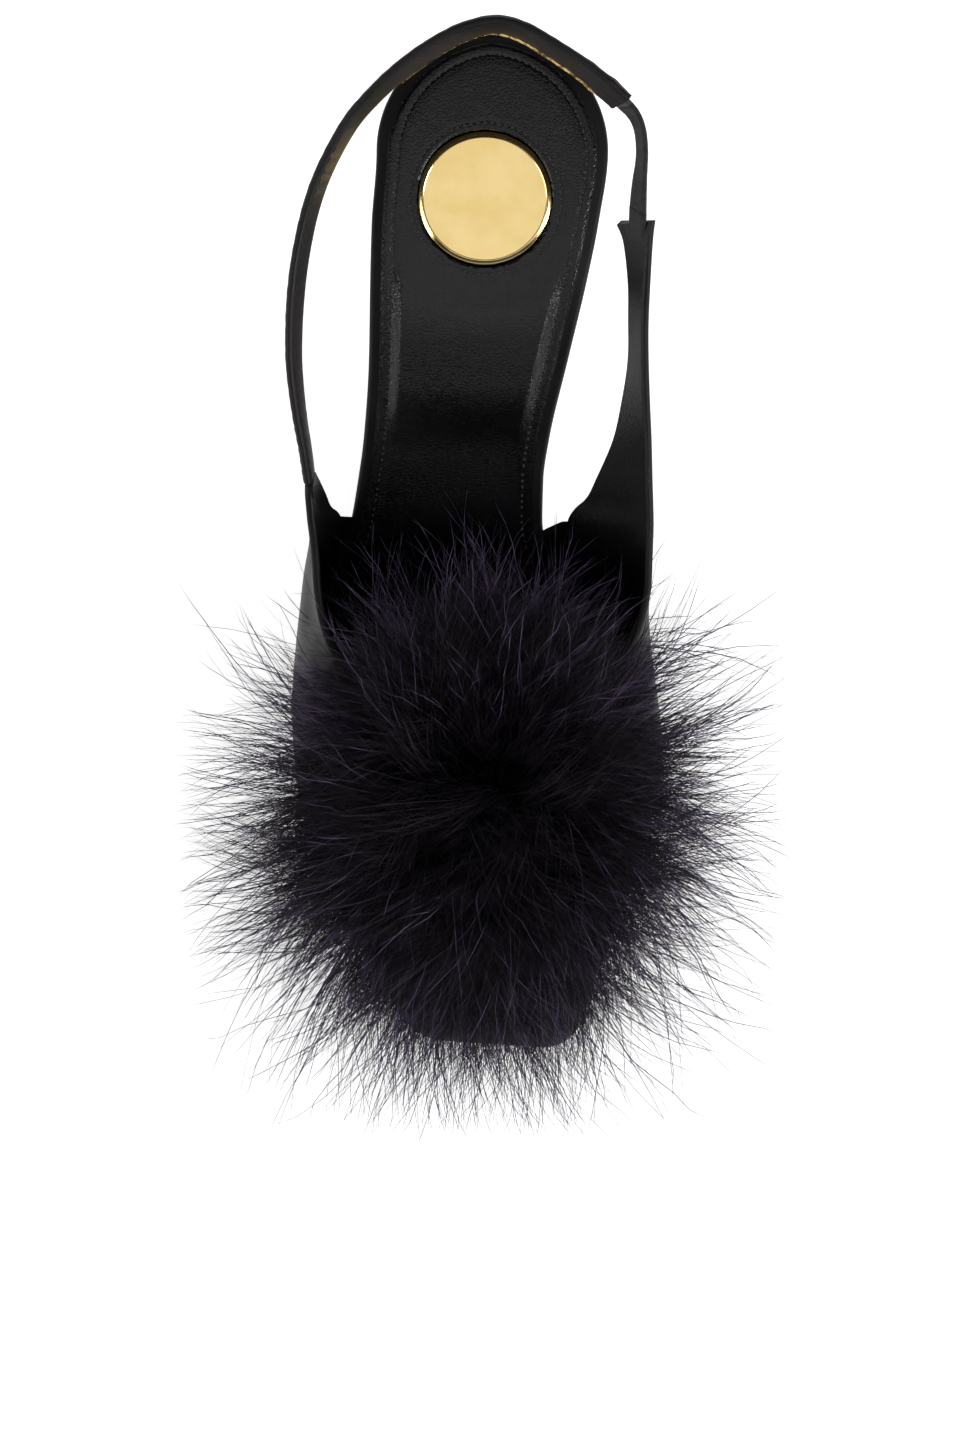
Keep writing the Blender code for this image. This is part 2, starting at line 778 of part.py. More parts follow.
def mound_point(frame, angle, height, share):
    """A point of the mound at a height, a share of the way out from its middle."""
    tree, seat_y, top = frame
    breadth = monotone(POMPOM_ROWS, 1, height) * share
    middle_y = (tread_share - pompom_share) * foot_length
    centre_y = seat_y + (middle_y - seat_y) * monotone(POMPOM_ROWS, 2, height)
    x = pompom_width / 2 * breadth * math.cos(angle)
    y = centre_y + pompom_length / 2 * breadth * math.sin(angle)
    z = seat_point(frame, angle, 1.0).z * (1 - height) + top * height
    vamp = drop_to_upper(tree, x, y)
    if vamp is not None:
        z = max(z, vamp + pompom_seat_gap + pompom_rise * height * mound_fill)
    return Vector((x, y, z))


def build_pompom(upper, finish):
    """The mound of feathers: a core seated on the vamp, with locks fused to it."""
    frame = pompom_frame(upper)
    angles = [k * math.tau / pompom_sectors for k in range(pompom_sectors)]
    rings = [[seat_point(frame, angle, share) for angle in angles] for share in POMPOM_SEAT_SHARES]
    rings += [[mound_point(frame, angle, row[0], 1.0) for angle in angles] for row in POMPOM_ROWS]
    core = add_object("pompom", loft(rings), finish)

    random.seed(LOCK_SEED)
    locks = bmesh.new()
    for height, number, length, tilt, droop in LOCK_ROWS:
        for k in range(number):
            angle = (k + around(lock_place_spread)) * math.tau / number
            root = mound_point(frame, angle, height, lock_root_share)
            heading = angle + around(lock_heading_spread)
            lift_back = lock_back_lift * max(math.sin(angle), 0.0)
            climb = math.radians(tilt + lift_back + around(lock_tilt_spread))
            size = lock_length * length * (1 + around(lock_length_spread))
            add_lock(locks, root, heading, climb, size, droop, around(lock_curl))
    lock_object = add_object("pompom_locks", locks, finish)
    lock_object.hide_render = True
    lock_object.display_type = "WIRE"
    fuse = core.modifiers.new("locks", "BOOLEAN")
    fuse.operation = "UNION"
    fuse.solver = "EXACT"
    fuse.use_self = True
    fuse.object = lock_object
    return core


def around(spread):
    """A chance value from minus the spread to plus it."""
    return random.uniform(-spread, spread)


def add_lock(mesh_data, root, heading, climb, size, droop, curl):
    """One tapered lock of feathers, flat and curved, as a closed body."""
    out = Vector((math.cos(heading), math.sin(heading), 0))
    side = Vector((-out.y, out.x, 0))
    loops = []
    for i in range(lock_steps + 1):
        t = i / lock_steps
        centre = root + out * size * t * math.cos(climb) + side * curl * size * t * t
        centre.z += size * (t * math.sin(climb) - droop * t * t)
        half = lock_width / 2 * (1 - lock_taper * t ** lock_taper_power)
        ring = []
        for k in range(lock_faces):
            turn = k * math.tau / lock_faces
            flat = Vector((0, 0, half * lock_flatness * math.sin(turn)))
            ring.append(mesh_data.verts.new(centre + side * half * math.cos(turn) + flat))
        loops.append(ring)
    for first, second in zip(loops, loops[1:]):
        for k in range(lock_faces):
            j = (k + 1) % lock_faces
            mesh_data.faces.new((first[k], first[j], second[j], second[k]))
    mesh_data.faces.new(loops[0][::-1])
    mesh_data.faces.new(loops[-1])


def main():
    for item in list(bpy.data.objects):
        bpy.data.objects.remove(item, do_unlink=True)
    satin = material("black satin", (0.012, 0.010, 0.010), 0.55)
    leather = material("black leather", (0.015, 0.014, 0.014), 0.38)
    gold = material("polished gold", (0.83, 0.62, 0.22), 0.16, 1.0)
    rubber = material("black rubber", (0.02, 0.02, 0.02), 0.7)
    feathers = material("black marabou", (0.010, 0.009, 0.012), 0.8)
    sole_leather = material("sole leather", (0.05, 0.04, 0.035), 0.5)
    ribbed = material("black elastic", (0.014, 0.013, 0.013), 0.75)

    build_outsole(sole_leather)
    build_board(satin)
    build_sock(leather)
    build_disc(gold)
    build_heel(satin)
    build_top_piece(rubber)
    upper = build_upper(satin)
    sweep("sling_strap", STRAP_ROWS, strap_width, strap_thickness, satin)
    sweep("elastic", ELASTIC_ROWS, elastic_width, elastic_thickness, ribbed)
    build_pompom(upper, feathers)


main()
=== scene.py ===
"""Looks of the marabou slipper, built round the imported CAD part.

Metres, +Z up, the toe along -Y and the inner side of the foot along +X. A share along the shoe
runs from 0 at the back of the heel to 1 at the toe, as in the part's source.
"""

import math

import bmesh
import bpy
import numpy as np
from mathutils import Matrix, Vector
from mathutils.bvhtree import BVHTree


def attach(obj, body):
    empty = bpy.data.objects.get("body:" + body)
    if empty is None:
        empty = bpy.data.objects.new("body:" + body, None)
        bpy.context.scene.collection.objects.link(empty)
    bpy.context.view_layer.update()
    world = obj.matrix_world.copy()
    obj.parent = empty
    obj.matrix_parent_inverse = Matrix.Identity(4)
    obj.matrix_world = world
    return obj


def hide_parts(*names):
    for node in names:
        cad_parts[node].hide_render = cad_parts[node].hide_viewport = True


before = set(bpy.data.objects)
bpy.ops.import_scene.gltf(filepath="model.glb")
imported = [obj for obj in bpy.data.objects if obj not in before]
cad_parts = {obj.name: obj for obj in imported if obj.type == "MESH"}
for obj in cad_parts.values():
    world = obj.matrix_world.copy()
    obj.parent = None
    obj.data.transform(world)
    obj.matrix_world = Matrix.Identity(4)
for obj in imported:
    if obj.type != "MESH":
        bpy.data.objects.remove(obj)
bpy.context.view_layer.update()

# Sizes of the last, as in the part's source
foot_length = 0.2205
ball_width = 0.0758
waist_width = 0.0413
seat_width = 0.0506
toe_width = 0.0380
toe_corner_radius = 0.0045
toe_slant = 0.067
seat_height = 0.064
instep_height = 0.045
tread_share = 0.7400
breast_share = 0.215
outsole_thickness = 0.0025
board_thickness = 0.0022
sock_thickness = 0.0030
rim_reveal = 0.0024
sock_toe_gap = 0.0040
upper_wall = 0.0018
clearance = 0.0003
board_gap = 0.0007
heel_inset = 0.0008
tip_width = 0.0110
tip_depth = 0.0105
tip_share = 0.085
top_piece_height = 0.0050
strap_width = 0.0070
strap_thickness = 0.0018
strap_middle_share = 0.17
elastic_width = 0.0050
elastic_thickness = 0.0011
disc_radius = 0.0145
disc_share = 0.162
disc_across = 0.0003
recess_depth = 0.0010

# Camera over the shoe, looking straight down
camera_y = 0.0127
camera_height = 1.30
lens = 140.6

OUTLINE_ROWS = (
    (0.000, -0.462, 0.538, "seat"),
    (0.115, -0.462, 0.538, "seat"),
    (0.184, -0.484, 0.498, "seat"),
    (0.240, -0.492, 0.449, "seat"),
    (0.316, -0.613, 0.453, "waist"),
    (0.394, -0.646, 0.354, "waist"),
    (0.433, -0.678, 0.324, "waist"),
    (0.473, -0.719, 0.320, "waist"),
    (0.522, -0.435, 0.211, "ball"),
    (0.576, -0.485, 0.310, "ball"),
    (0.626, -0.517, 0.402, "ball"),
    (0.673, -0.530, 0.467, "ball"),
    (0.726, -0.525, 0.492, "ball"),
    (0.780, -0.495, 0.456, "ball"),
    (0.839, -0.435, 0.394, "ball"),
    (0.898, -0.711, 0.668, "toe"),
    (0.943, -0.568, 0.592, "toe"),
    (0.980, -0.442, 0.518, "toe"),
    (1.000, -0.370, 0.480, "toe"),
)

RISE_ROWS = (
    (0.000, 1.000),
    (0.110, 0.945),
    (0.225, 0.855),
    (0.340, 0.680),
    (0.455, 0.436),
    (0.520, 0.280),
    (0.580, 0.150),
    (0.630, 0.062),
    (0.665, 0.016),
    (0.690, 0.000),
    (0.810, 0.000),
    (0.850, 0.004),
    (0.920, 0.030),
    (1.000, 0.085),
)

OUTER_FREE_ROWS = (
    (0.4450, -0.5150, 0.754, 0.4320, -0.5090, 0.596, 0.00),
    (0.4540, -0.5155, 0.747, 0.4510, -0.4790, 0.474, 0.01),
    (0.4670, -0.5130, 0.757, 0.4620, -0.4600, 0.355, 0.02),
    (0.4800, -0.5100, 0.765, 0.4710, -0.4350, 0.225, 0.03),
)
INNER_FREE_ROWS = (
    (0.4840, 0.491, 0.740, 0.4760, 0.2550, 0.270, 0.00),
    (0.4625, 0.489, 0.727, 0.4565, 0.3080, 0.338, 0.00),
    (0.4400, 0.486, 0.716, 0.4370, 0.3430, 0.396, 0.00),
    (0.4010, 0.482, 0.696, 0.3990, 0.3940, 0.432, 0.00),
    (0.3630, 0.476, 0.693, 0.3600, 0.4200, 0.452, 0.00),
    (0.3250, 0.471, 0.707, 0.3220, 0.4355, 0.500, 0.00),
    (0.2880, 0.469, 0.727, 0.2850, 0.4350, 0.532, 0.00),
    (0.2500, 0.472, 0.760, 0.2480, 0.4310, 0.577, 0.00),
    (0.2130, 0.476, 0.789, 0.2100, 0.4130, 0.641, 0.00),
    (0.1940, 0.481, 0.795, 0.1920, 0.3890, 0.662, 0.00),
)
LASTED_ROWS = (
    (0.492, -0.506, 0.771, 0.005, 0.05, 0.35, 0.35, 0.04),
    (0.518, -0.498, 0.790, 0.065, 0.05, 0.35, 0.35, 0.07),
    (0.550, -0.494, 0.822, 0.140, 0.10, 0.35, 0.38, 0.08),
    (0.585, -0.475, 0.868, 0.215, 0.15, 0.35, 0.40, 0.08),
    (0.615, -0.435, 0.915, 0.285, 0.25, 0.34, 0.42, 0.08),
    (0.637, -0.360, 0.955, 0.350, 0.36, 0.33, 0.45, 0.06),
    (0.650, -0.265, 0.985, 0.400, 0.44, 0.34, 0.47, 0.05),
    (0.657, -0.170, 1.010, 0.438, 0.50, 0.36, 0.48, 0.04),
    (0.661, -0.085, 1.028, 0.470, 0.53, 0.38, 0.46, 0.03),
    (0.662, 0.010, 1.034, 0.505, 0.54, 0.38, 0.46, 0.03),
    (0.661, 0.100, 1.028, 0.545, 0.53, 0.38, 0.46, 0.03),
    (0.657, 0.180, 1.010, 0.577, 0.50, 0.36, 0.48, 0.04),
    (0.649, 0.265, 0.985, 0.615, 0.44, 0.34, 0.47, 0.05),
    (0.637, 0.345, 0.955, 0.665, 0.36, 0.33, 0.45, 0.06),
    (0.615, 0.415, 0.915, 0.730, 0.25, 0.34, 0.42, 0.08),
    (0.585, 0.462, 0.868, 0.800, 0.15, 0.35, 0.40, 0.08),
    (0.550, 0.487, 0.822, 0.870, 0.10, 0.35, 0.38, 0.06),
    (0.518, 0.491, 0.782, 0.935, 0.05, 0.35, 0.35, 0.02),
    (0.500, 0.491, 0.758, 0.985, 0.05, 0.35, 0.35, 0.00),
)
lasted_start = 0.482
lasted_end = 0.486

STRAP_ROWS = (
    (0.4355, -0.5030, 0.676, 10),
    (0.4100, -0.5123, 0.674, 12),
    (0.3816, -0.5251, 0.672, 15),
    (0.3530, -0.5349, 0.671, 18),
    (0.3245, -0.5406, 0.671, 20),
    (0.2959, -0.5393, 0.672, 21),
    (0.2676, -0.5338, 0.676, 22),
    (0.2395, -0.5239, 0.686, 22),
    (0.2114, -0.5085, 0.704, 21),
    (0.1833, -0.4877, 0.732, 20),
    (0.1556, -0.4583, 0.770, 19),
    (0.1282, -0.4178, 0.815, 18),
    (0.1010, -0.3662, 0.868, 18),
    (0.0798, -0.3075, 0.925, 18),
    (0.0600, -0.2400, 0.985, 20),
    (0.0419, -0.1640, 1.035, 21),
    (0.0271, -0.0850, 1.085, 19),
    (0.0195, -0.0200, 1.120, 17),
    (0.0168, 0.0420, 1.138, 16),
    (0.0231, 0.1113, 1.136, 17),
    (0.0386, 0.1927, 1.113, 19),
    (0.0562, 0.2740, 1.080, 21),
    (0.0715, 0.3310, 1.055, 24),
    (0.0872, 0.3830, 1.030, 26),
)
ELASTIC_ROWS = (
    (0.0900, 0.3930, 1.022, 24),
    (0.0973, 0.4140, 1.003, 22),
    (0.1060, 0.4290, 0.984, 20),
    (0.1170, 0.4385, 0.955, 20),
    (0.1304, 0.4426, 0.925, 21),
    (0.1440, 0.4419, 0.898, 24),
    (0.1575, 0.4385, 0.868, 31),
    (0.1710, 0.4360, 0.835, 36),
    (0.1850, 0.4345, 0.800, 41),
)
HEEL_ROWS = (
    (0.00, 0.00, 0.00),
    (0.05, 0.09, 0.08),
    (0.13, 0.33, 0.30),
    (0.24, 0.60, 0.56),
    (0.40, 0.81, 0.78),
    (0.60, 0.93, 0.91),
    (0.80, 0.98, 0.97),
    (1.00, 1.00, 1.00),
)


def monotone(rows, column, position):
    """Smooth value of one column at a position, without overshoot."""
    xs = [row[0] for row in rows]
    ys = [row[column] for row in rows]
    last = len(xs) - 1
    if position <= xs[0]:
        return ys[0]
    if position >= xs[last]:
        return ys[last]
    steps = [xs[i + 1] - xs[i] for i in range(last)]
    rates = [(ys[i + 1] - ys[i]) / steps[i] for i in range(last)]
    slopes = [rates[0]]
    for i in range(1, last):
        if rates[i - 1] * rates[i] <= 0:
            slopes.append(0.0)
            continue
        first = 2 * steps[i] + steps[i - 1]
        second = steps[i] + 2 * steps[i - 1]
        slopes.append((first + second) / (first / rates[i - 1] + second / rates[i]))
    slopes.append(rates[-1])
    i = 0
    while position > xs[i + 1]:
        i += 1
    t = (position - xs[i]) / steps[i]
    start = (2 * t ** 3 - 3 * t ** 2 + 1) * ys[i] + (t ** 3 - 2 * t ** 2 + t) * steps[i] * slopes[i]
    end = (3 * t ** 2 - 2 * t ** 3) * ys[i + 1] + (t ** 3 - t ** 2) * steps[i] * slopes[i + 1]
    return start + end


def ramp(start, end, value):
    """0 before start, 1 after end, smooth between."""
    t = min(max((value - start) / (end - start), 0.0), 1.0)
    return t * t * (3 - 2 * t)


def through(points, steps):
    """A smooth run of points through the given ones, with some steps between each two."""
    run = []
    last = len(points) - 1
    for i in range(last):
        before = points[max(i - 1, 0)]
        start, end = points[i], points[i + 1]
        after = points[min(i + 2, last)]
        for k in range(steps):
            t = k / steps
            run.append(0.5 * (2 * start + (end - before) * t
                              + (2 * before - 5 * start + 4 * end - after) * t * t
                              + (3 * start - before - 3 * end + after) * t ** 3))
    run.append(points[last].copy())
    return run


RISE_SAMPLES = [seat_height * monotone(RISE_ROWS, 1, k / 1000) for k in range(1001)]


def rise(along):
    """Height of the sole's lower face over the floor."""
    spot = min(max(along, 0.0), 1.0) * 1000
    k = min(int(spot), 999)
    return RISE_SAMPLES[k] + (RISE_SAMPLES[k + 1] - RISE_SAMPLES[k]) * (spot - k)


def board_top(along):
    return rise(along) + outsole_thickness + clearance + board_thickness


def place(along, x, z):
    """A point from its share along the shoe and its real place across and up."""
    y = (tread_share - along) * foot_length - toe_slant * x * ramp(0.85, 1.0, along)
    return Vector((x, y, z))


def on_last(along, across, lift):
    """A point from three shares: along, across the ball and up the instep."""
    return place(along, across * ball_width, rise(along) + lift * instep_height)


def side_samples():
    """Outer and inner side of the board at 1001 shares, before the ends are rounded."""
    widths = {"seat": seat_width, "waist": waist_width, "ball": ball_width, "toe": toe_width}
    rows = [(row[0], row[1] * widths[row[3]], row[2] * widths[row[3]]) for row in OUTLINE_ROWS]
    return [(monotone(rows, 1, k / 1000), monotone(rows, 2, k / 1000)) for k in range(1001)]


SIDE_SAMPLES = side_samples()


def board_sides(along, inset=0.0):
    """Outer and inner side of the board, with a round heel and rounded toe corners."""
    spot = min(max(along, 0.0), 1.0) * 1000
    k = min(int(spot), 999)
    outer = SIDE_SAMPLES[k][0] + (SIDE_SAMPLES[k + 1][0] - SIDE_SAMPLES[k][0]) * (spot - k)
    inner = SIDE_SAMPLES[k][1] + (SIDE_SAMPLES[k + 1][1] - SIDE_SAMPLES[k][1]) * (spot - k)
    middle = (outer + inner) / 2
    half = (inner - outer) / 2
    back = along * foot_length - inset
    radius = seat_width / 2
    if back < radius:
        half *= math.sqrt(max(1 - (1 - back / radius) ** 2, 0.0))
    front = toe_corner_radius - (foot_length - inset - along * foot_length)
    if front > 0:
        corner = math.sqrt(max(toe_corner_radius ** 2 - front ** 2, 0.0))
        half -= toe_corner_radius - corner
    return middle - half + inset, middle + half - inset


def shares_between(start, end, count, round_start=False, round_end=False):
    """Shares from start to end, crowded where an end is round."""
    shares = []
    for i in range(count + 1):
        t = i / count
        if round_start:
            t = 1 - math.cos(t * math.pi / 2)
        if round_end:
            t = math.sin(t * math.pi / 2)
        shares.append(start + (end - start) * t)
    return shares


# Materials

def link(tree, start, output, end, socket):
    tree.links.new(start.outputs[output], end.inputs[socket])


def plain(name, colour, roughness, metallic=0.0, specular=0.5):
    made = bpy.data.materials.new(name)
    made.use_nodes = True
    shader = made.node_tree.nodes["Principled BSDF"]
    shader.inputs["Base Color"].default_value = (*colour, 1.0)
    shader.inputs["Roughness"].default_value = roughness
    shader.inputs["Metallic"].default_value = metallic
    shader.inputs["Specular IOR Level"].default_value = specular
    return made, made.node_tree, shader


def noise(tree, scale, detail=3.0, stretch=(1.0, 1.0, 1.0)):
    """A noise node on object coordinates, in cells per metre."""
    place_node = tree.nodes.new("ShaderNodeTexCoord")
    mapping = tree.nodes.new("ShaderNodeMapping")
    mapping.inputs["Scale"].default_value = stretch
    made = tree.nodes.new("ShaderNodeTexNoise")
    made.inputs["Scale"].default_value = scale
    made.inputs["Detail"].default_value = detail
    link(tree, place_node, "Object", mapping, "Vector")
    link(tree, mapping, "Vector", made, "Vector")
    return made


def spread(tree, source, output, low, high, to_low, to_high):
    """Map a node's value from one range to another."""
    made = tree.nodes.new("ShaderNodeMapRange")
    made.inputs["From Min"].default_value = low
    made.inputs["From Max"].default_value = high
    made.inputs["To Min"].default_value = to_low
    made.inputs["To Max"].default_value = to_high
    link(tree, source, output, made, "Value")
    return made


def two_tone(tree, source, output, dark, light, shader, low=0.35, high=0.65):
    """Colour that wanders between two tones."""
    made = tree.nodes.new("ShaderNodeMix")
    made.data_type = "RGBA"
    made.inputs[6].default_value = (*dark, 1.0)
    made.inputs[7].default_value = (*light, 1.0)
    factor = spread(tree, source, output, low, high, 0.0, 1.0)
    link(tree, factor, "Result", made, "Factor")
    tree.links.new(made.outputs[2], shader.inputs["Base Color"])


def bump(tree, source, output, shader, distance, strength=1.0, under=None):
    made = tree.nodes.new("ShaderNodeBump")
    made.inputs["Distance"].default_value = distance
    made.inputs["Strength"].default_value = strength
    link(tree, source, output, made, "Height")
    if under is not None:
        link(tree, under, "Normal", made, "Normal")
    link(tree, made, "Normal", shader, "Normal")
    return made


def satin_material(name, dark, light, specular, sheen):
    """Black satin: a fine twill of raised threads with a soft sheen."""
    made, tree, shader = plain(name, dark, 0.42, specular=specular)
    shader.inputs["Sheen Weight"].default_value = sheen
    shader.inputs["Sheen Roughness"].default_value = 0.35
    shader.inputs["Sheen Tint"].default_value = (0.55, 0.46, 0.44, 1.0)
    cloud = noise(tree, 60, 4)
    two_tone(tree, cloud, "Fac", dark, light, shader)
    rough = spread(tree, cloud, "Fac", 0.3, 0.7, 0.36, 0.50)
    link(tree, rough, "Result", shader, "Roughness")
    where = tree.nodes.new("ShaderNodeTexCoord")
    turned = tree.nodes.new("ShaderNodeMapping")
    turned.inputs["Rotation"].default_value = (0.5, 0.35, math.radians(58))
    twill = tree.nodes.new("ShaderNodeTexWave")
    twill.inputs["Scale"].default_value = 900
    twill.inputs["Distortion"].default_value = 0.7
    twill.inputs["Detail Scale"].default_value = 2.0
    link(tree, where, "Object", turned, "Vector")
    link(tree, turned, "Vector", twill, "Vector")
    first = bump(tree, twill, "Fac", shader, 0.00003, 0.5)
    slub = noise(tree, 1800, 2, (1.0, 0.35, 1.0))
    bump(tree, slub, "Fac", shader, 0.00004, 0.5, first)
    return made


def leather_material(name, dark, light, gloss, specular, grain):
    """Fine-grained black leather, with gloss that wanders."""
    made, tree, shader = plain(name, dark, gloss, specular=specular)
    cloud = noise(tree, 45, 5)
    two_tone(tree, cloud, "Fac", dark, light, shader)
    rough = spread(tree, cloud, "Fac", 0.3, 0.7, gloss - 0.05, gloss + 0.07)
    link(tree, rough, "Result", shader, "Roughness")
    where = tree.nodes.new("ShaderNodeTexCoord")
    cells = tree.nodes.new("ShaderNodeTexVoronoi")
    cells.feature = "DISTANCE_TO_EDGE"
    cells.inputs["Scale"].default_value = 1500
    link(tree, where, "Object", cells, "Vector")
    pores = spread(tree, cells, "Distance", 0.0, 0.25, 0.0, 1.0)
    first = bump(tree, pores, "Result", shader, 0.00006 * grain, 0.7)
    folds = noise(tree, 700, 4)
    bump(tree, folds, "Fac", shader, 0.00005 * grain, 0.7, first)
    return made


def gold_material():
    """Polished gold-coloured metal with faint turning marks."""
    made, tree, shader = plain("polished_gold", (0.86, 0.64, 0.27), 0.14, 1.0)
    cloud = noise(tree, 180, 4)
    two_tone(tree, cloud, "Fac", (0.84, 0.62, 0.25), (0.90, 0.69, 0.32), shader)
    rough = spread(tree, cloud, "Fac", 0.3, 0.7, 0.11, 0.18)
    link(tree, rough, "Result", shader, "Roughness")
    marks = noise(tree, 500, 2, (1.0, 0.1, 1.0))
    bump(tree, marks, "Fac", shader, 0.000004, 0.5)
    return made


def foil_material():
    """Worn gold foil that lines the strap at the back."""
    made, tree, shader = plain("gold_foil", (0.60, 0.40, 0.14), 0.34, 0.9)
    wear = noise(tree, 700, 5)
    two_tone(tree, wear, "Fac", (0.10, 0.06, 0.025), (0.80, 0.55, 0.21), shader, 0.36, 0.56)
    crinkle = noise(tree, 900, 4)
    bump(tree, crinkle, "Fac", shader, 0.00035, 0.9)
    return made


def elastic_material():
    """Ribbed black webbing."""
    made, tree, shader = plain("ribbed_elastic", (0.008, 0.007, 0.008), 0.6, specular=0.25)
    shader.inputs["Sheen Weight"].default_value = 0.12
    shader.inputs["Sheen Roughness"].default_value = 0.5
    fuzz = noise(tree, 900, 4)
    two_tone(tree, fuzz, "Fac", (0.005, 0.0045, 0.005), (0.018, 0.016, 0.017), shader)
    bump(tree, fuzz, "Fac", shader, 0.00008, 0.6)
    return made


def rubber_material():
    made, tree, shader = plain("top_piece_rubber", (0.018, 0.018, 0.018), 0.62)
    speck = noise(tree, 1500, 4)
    two_tone(tree, speck, "Fac", (0.014, 0.014, 0.014), (0.030, 0.029, 0.028), shader)
    bump(tree, speck, "Fac", shader, 0.00004, 0.6)
    return made


def thread_material(name, dark, light):
    made, tree, shader = plain(name, dark, 0.55)
    strand = noise(tree, 2500, 2)
    two_tone(tree, strand, "Fac", dark, light, shader)
    bump(tree, strand, "Fac", shader, 0.00003, 0.6)
    return made


def down_material(name, dark, light, specular):
    """Dyed marabou down: near black, with a cool grey that wanders at random, a painted highlight standing in for
    strands that catch the light.
    """
    made, tree, shader = plain(name, dark, 0.48, specular=specular)
    shade = noise(tree, 220, 3)
    two_tone(tree, shade, "Fac", dark, light, shader, 0.38, 0.66)
    rough = spread(tree, shade, "Fac", 0.3, 0.7, 0.42, 0.60)
    link(tree, rough, "Result", shader, "Roughness")
    return made


# Mesh helpers

def add_piece(name, mesh_data, finishes, nodes=(), smooth_angle=40, outward=True):
    """Turn a bmesh into a named piece that rides on the shoe."""
    if outward:
        bmesh.ops.recalc_face_normals(mesh_data, faces=mesh_data.faces)
    mesh = bpy.data.meshes.new(name)
    mesh_data.to_mesh(mesh)
    mesh_data.free()
    mesh.shade_smooth()
    if smooth_angle:
        mesh.set_sharp_from_angle(angle=math.radians(smooth_angle))
    for finish in finishes:
        mesh.materials.append(finish)
    made = bpy.data.objects.new(name, mesh)
    bpy.context.scene.collection.objects.link(made)
    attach(made, "root")
    if nodes:
        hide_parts(*nodes)
    return made


def loft(rings, marks=None):
    """A closed skin through rings of equally many points; marks gives each column's material."""
    made = bmesh.new()
    loops = [[made.verts.new(point) for point in ring] for ring in rings]
    for first, second in zip(loops, loops[1:]):
        count = len(first)
        for i in range(count):
            j = (i + 1) % count
            face = made.faces.new((first[i], first[j], second[j], second[i]))
            if marks:
                face.material_index = marks[i]
    made.faces.new(loops[0][::-1])
    made.faces.new(loops[-1])
    return made


def add_bead(mesh_data, centre, along, up, length, width, height, faces=7, rings=5):
    """One stitch: a long bead along a direction."""
    forward = along.normalized()
    side = forward.cross(up).normalized()
    top = side.cross(forward)
    loops = []
    for i in range(rings):
        angle = math.pi * (i + 0.5) / rings
        reach = -math.cos(angle) * length / 2
        size = math.sin(angle)
        ring = []
        for k in range(faces):
            turn = k * math.tau / faces
            ring.append(mesh_data.verts.new(centre + forward * reach
                                            + side * (width / 2 * size * math.cos(turn))
                                            + top * (height / 2 * size * math.sin(turn))))
        loops.append(ring)
    for first, second in zip(loops, loops[1:]):
        for k in range(faces):
            j = (k + 1) % faces
            mesh_data.faces.new((first[k], first[j], second[j], second[k]))
    mesh_data.faces.new(loops[0][::-1])
    mesh_data.faces.new(loops[-1])


# The sole, board and heel

def build_outsole(finish):
    """The thin sole with rounded edges."""
    rings = []
    start = breast_share + clearance / foot_length
    body = shares_between(start, 1 - 2 * toe_corner_radius / foot_length, 110)
    shares = sorted(body + [0.69, 0.81])
    shares += shares_between(1 - 1.6 * toe_corner_radius / foot_length, 1.0, 12, False, True)
    sole_margin = 0.0012
    waist_inset = 0.0006
    for along in shares:
        margin = -waist_inset + (sole_margin + waist_inset) * ramp(0.46, 0.58, along)
        outer, inner = board_sides(along)
        forward = Vector((0.0, -sole_margin * ramp(0.85, 1.0, along), 0.0))
        low = rise(along)
        high = low + outsole_thickness
        soft = 0.0005
        row = []
        for side, x in ((-1, outer - margin), (1, inner + margin)):
            corner = [(x - side * soft, low), (x - side * soft * 0.3, low + soft * 0.3), (x, low + soft),
                      (x, high - soft), (x - side * soft * 0.3, high - soft * 0.3),
                      (x - side * soft, high)]
            row.append([place(along, a, b) + forward for a, b in corner])
        rings.append(row[1] + row[0][::-1])
    return add_piece("sole", loft(rings), [finish], ["outsole"])


def board_ring(along, low, high):
    outer, inner = board_sides(along)
    edge = (high - low) * 0.42
    ring = []
    for side, x in ((1, inner), (-1, outer)):
        arc = []
        for k in range(7):
            turn = math.pi * (k / 6 - 0.5)
            bow = edge * (math.cos(turn) - 1)
            arc.append(place(along, x + side * bow, (low + high) / 2 + (high - low) / 2 * math.sin(turn)))
        ring.append(arc)
    return ring[0] + ring[1][::-1]


def build_board(finish):
    """The covered board, whose rim shows round the sock."""
    shares = shares_between(0.0008, 0.115, 26, True)
    shares += shares_between(0.120, 0.965, 130)
    shares += shares_between(1 - 1.2 * toe_corner_radius / foot_length, 1.0, 9, False, True)
    rings = []
    for along in shares:
        low = rise(along) + outsole_thickness + clearance
        ring = board_ring(along, low, low + board_thickness)
        fuller = 0.0007 * (1 - ramp(0.0, 0.030, along))
        rings.append([point + Vector((0, fuller, 0)) for point in ring])
    return add_piece("covered_board", loft(rings), [finish], ["insole_board"])


def heel_outline():
    shares = shares_between(0.0045, breast_share, 34, True)
    outer = [(along, board_sides(along, heel_inset)[0]) for along in reversed(shares)]
    inner = [(along, board_sides(along, heel_inset)[1]) for along in shares]
    return outer + inner


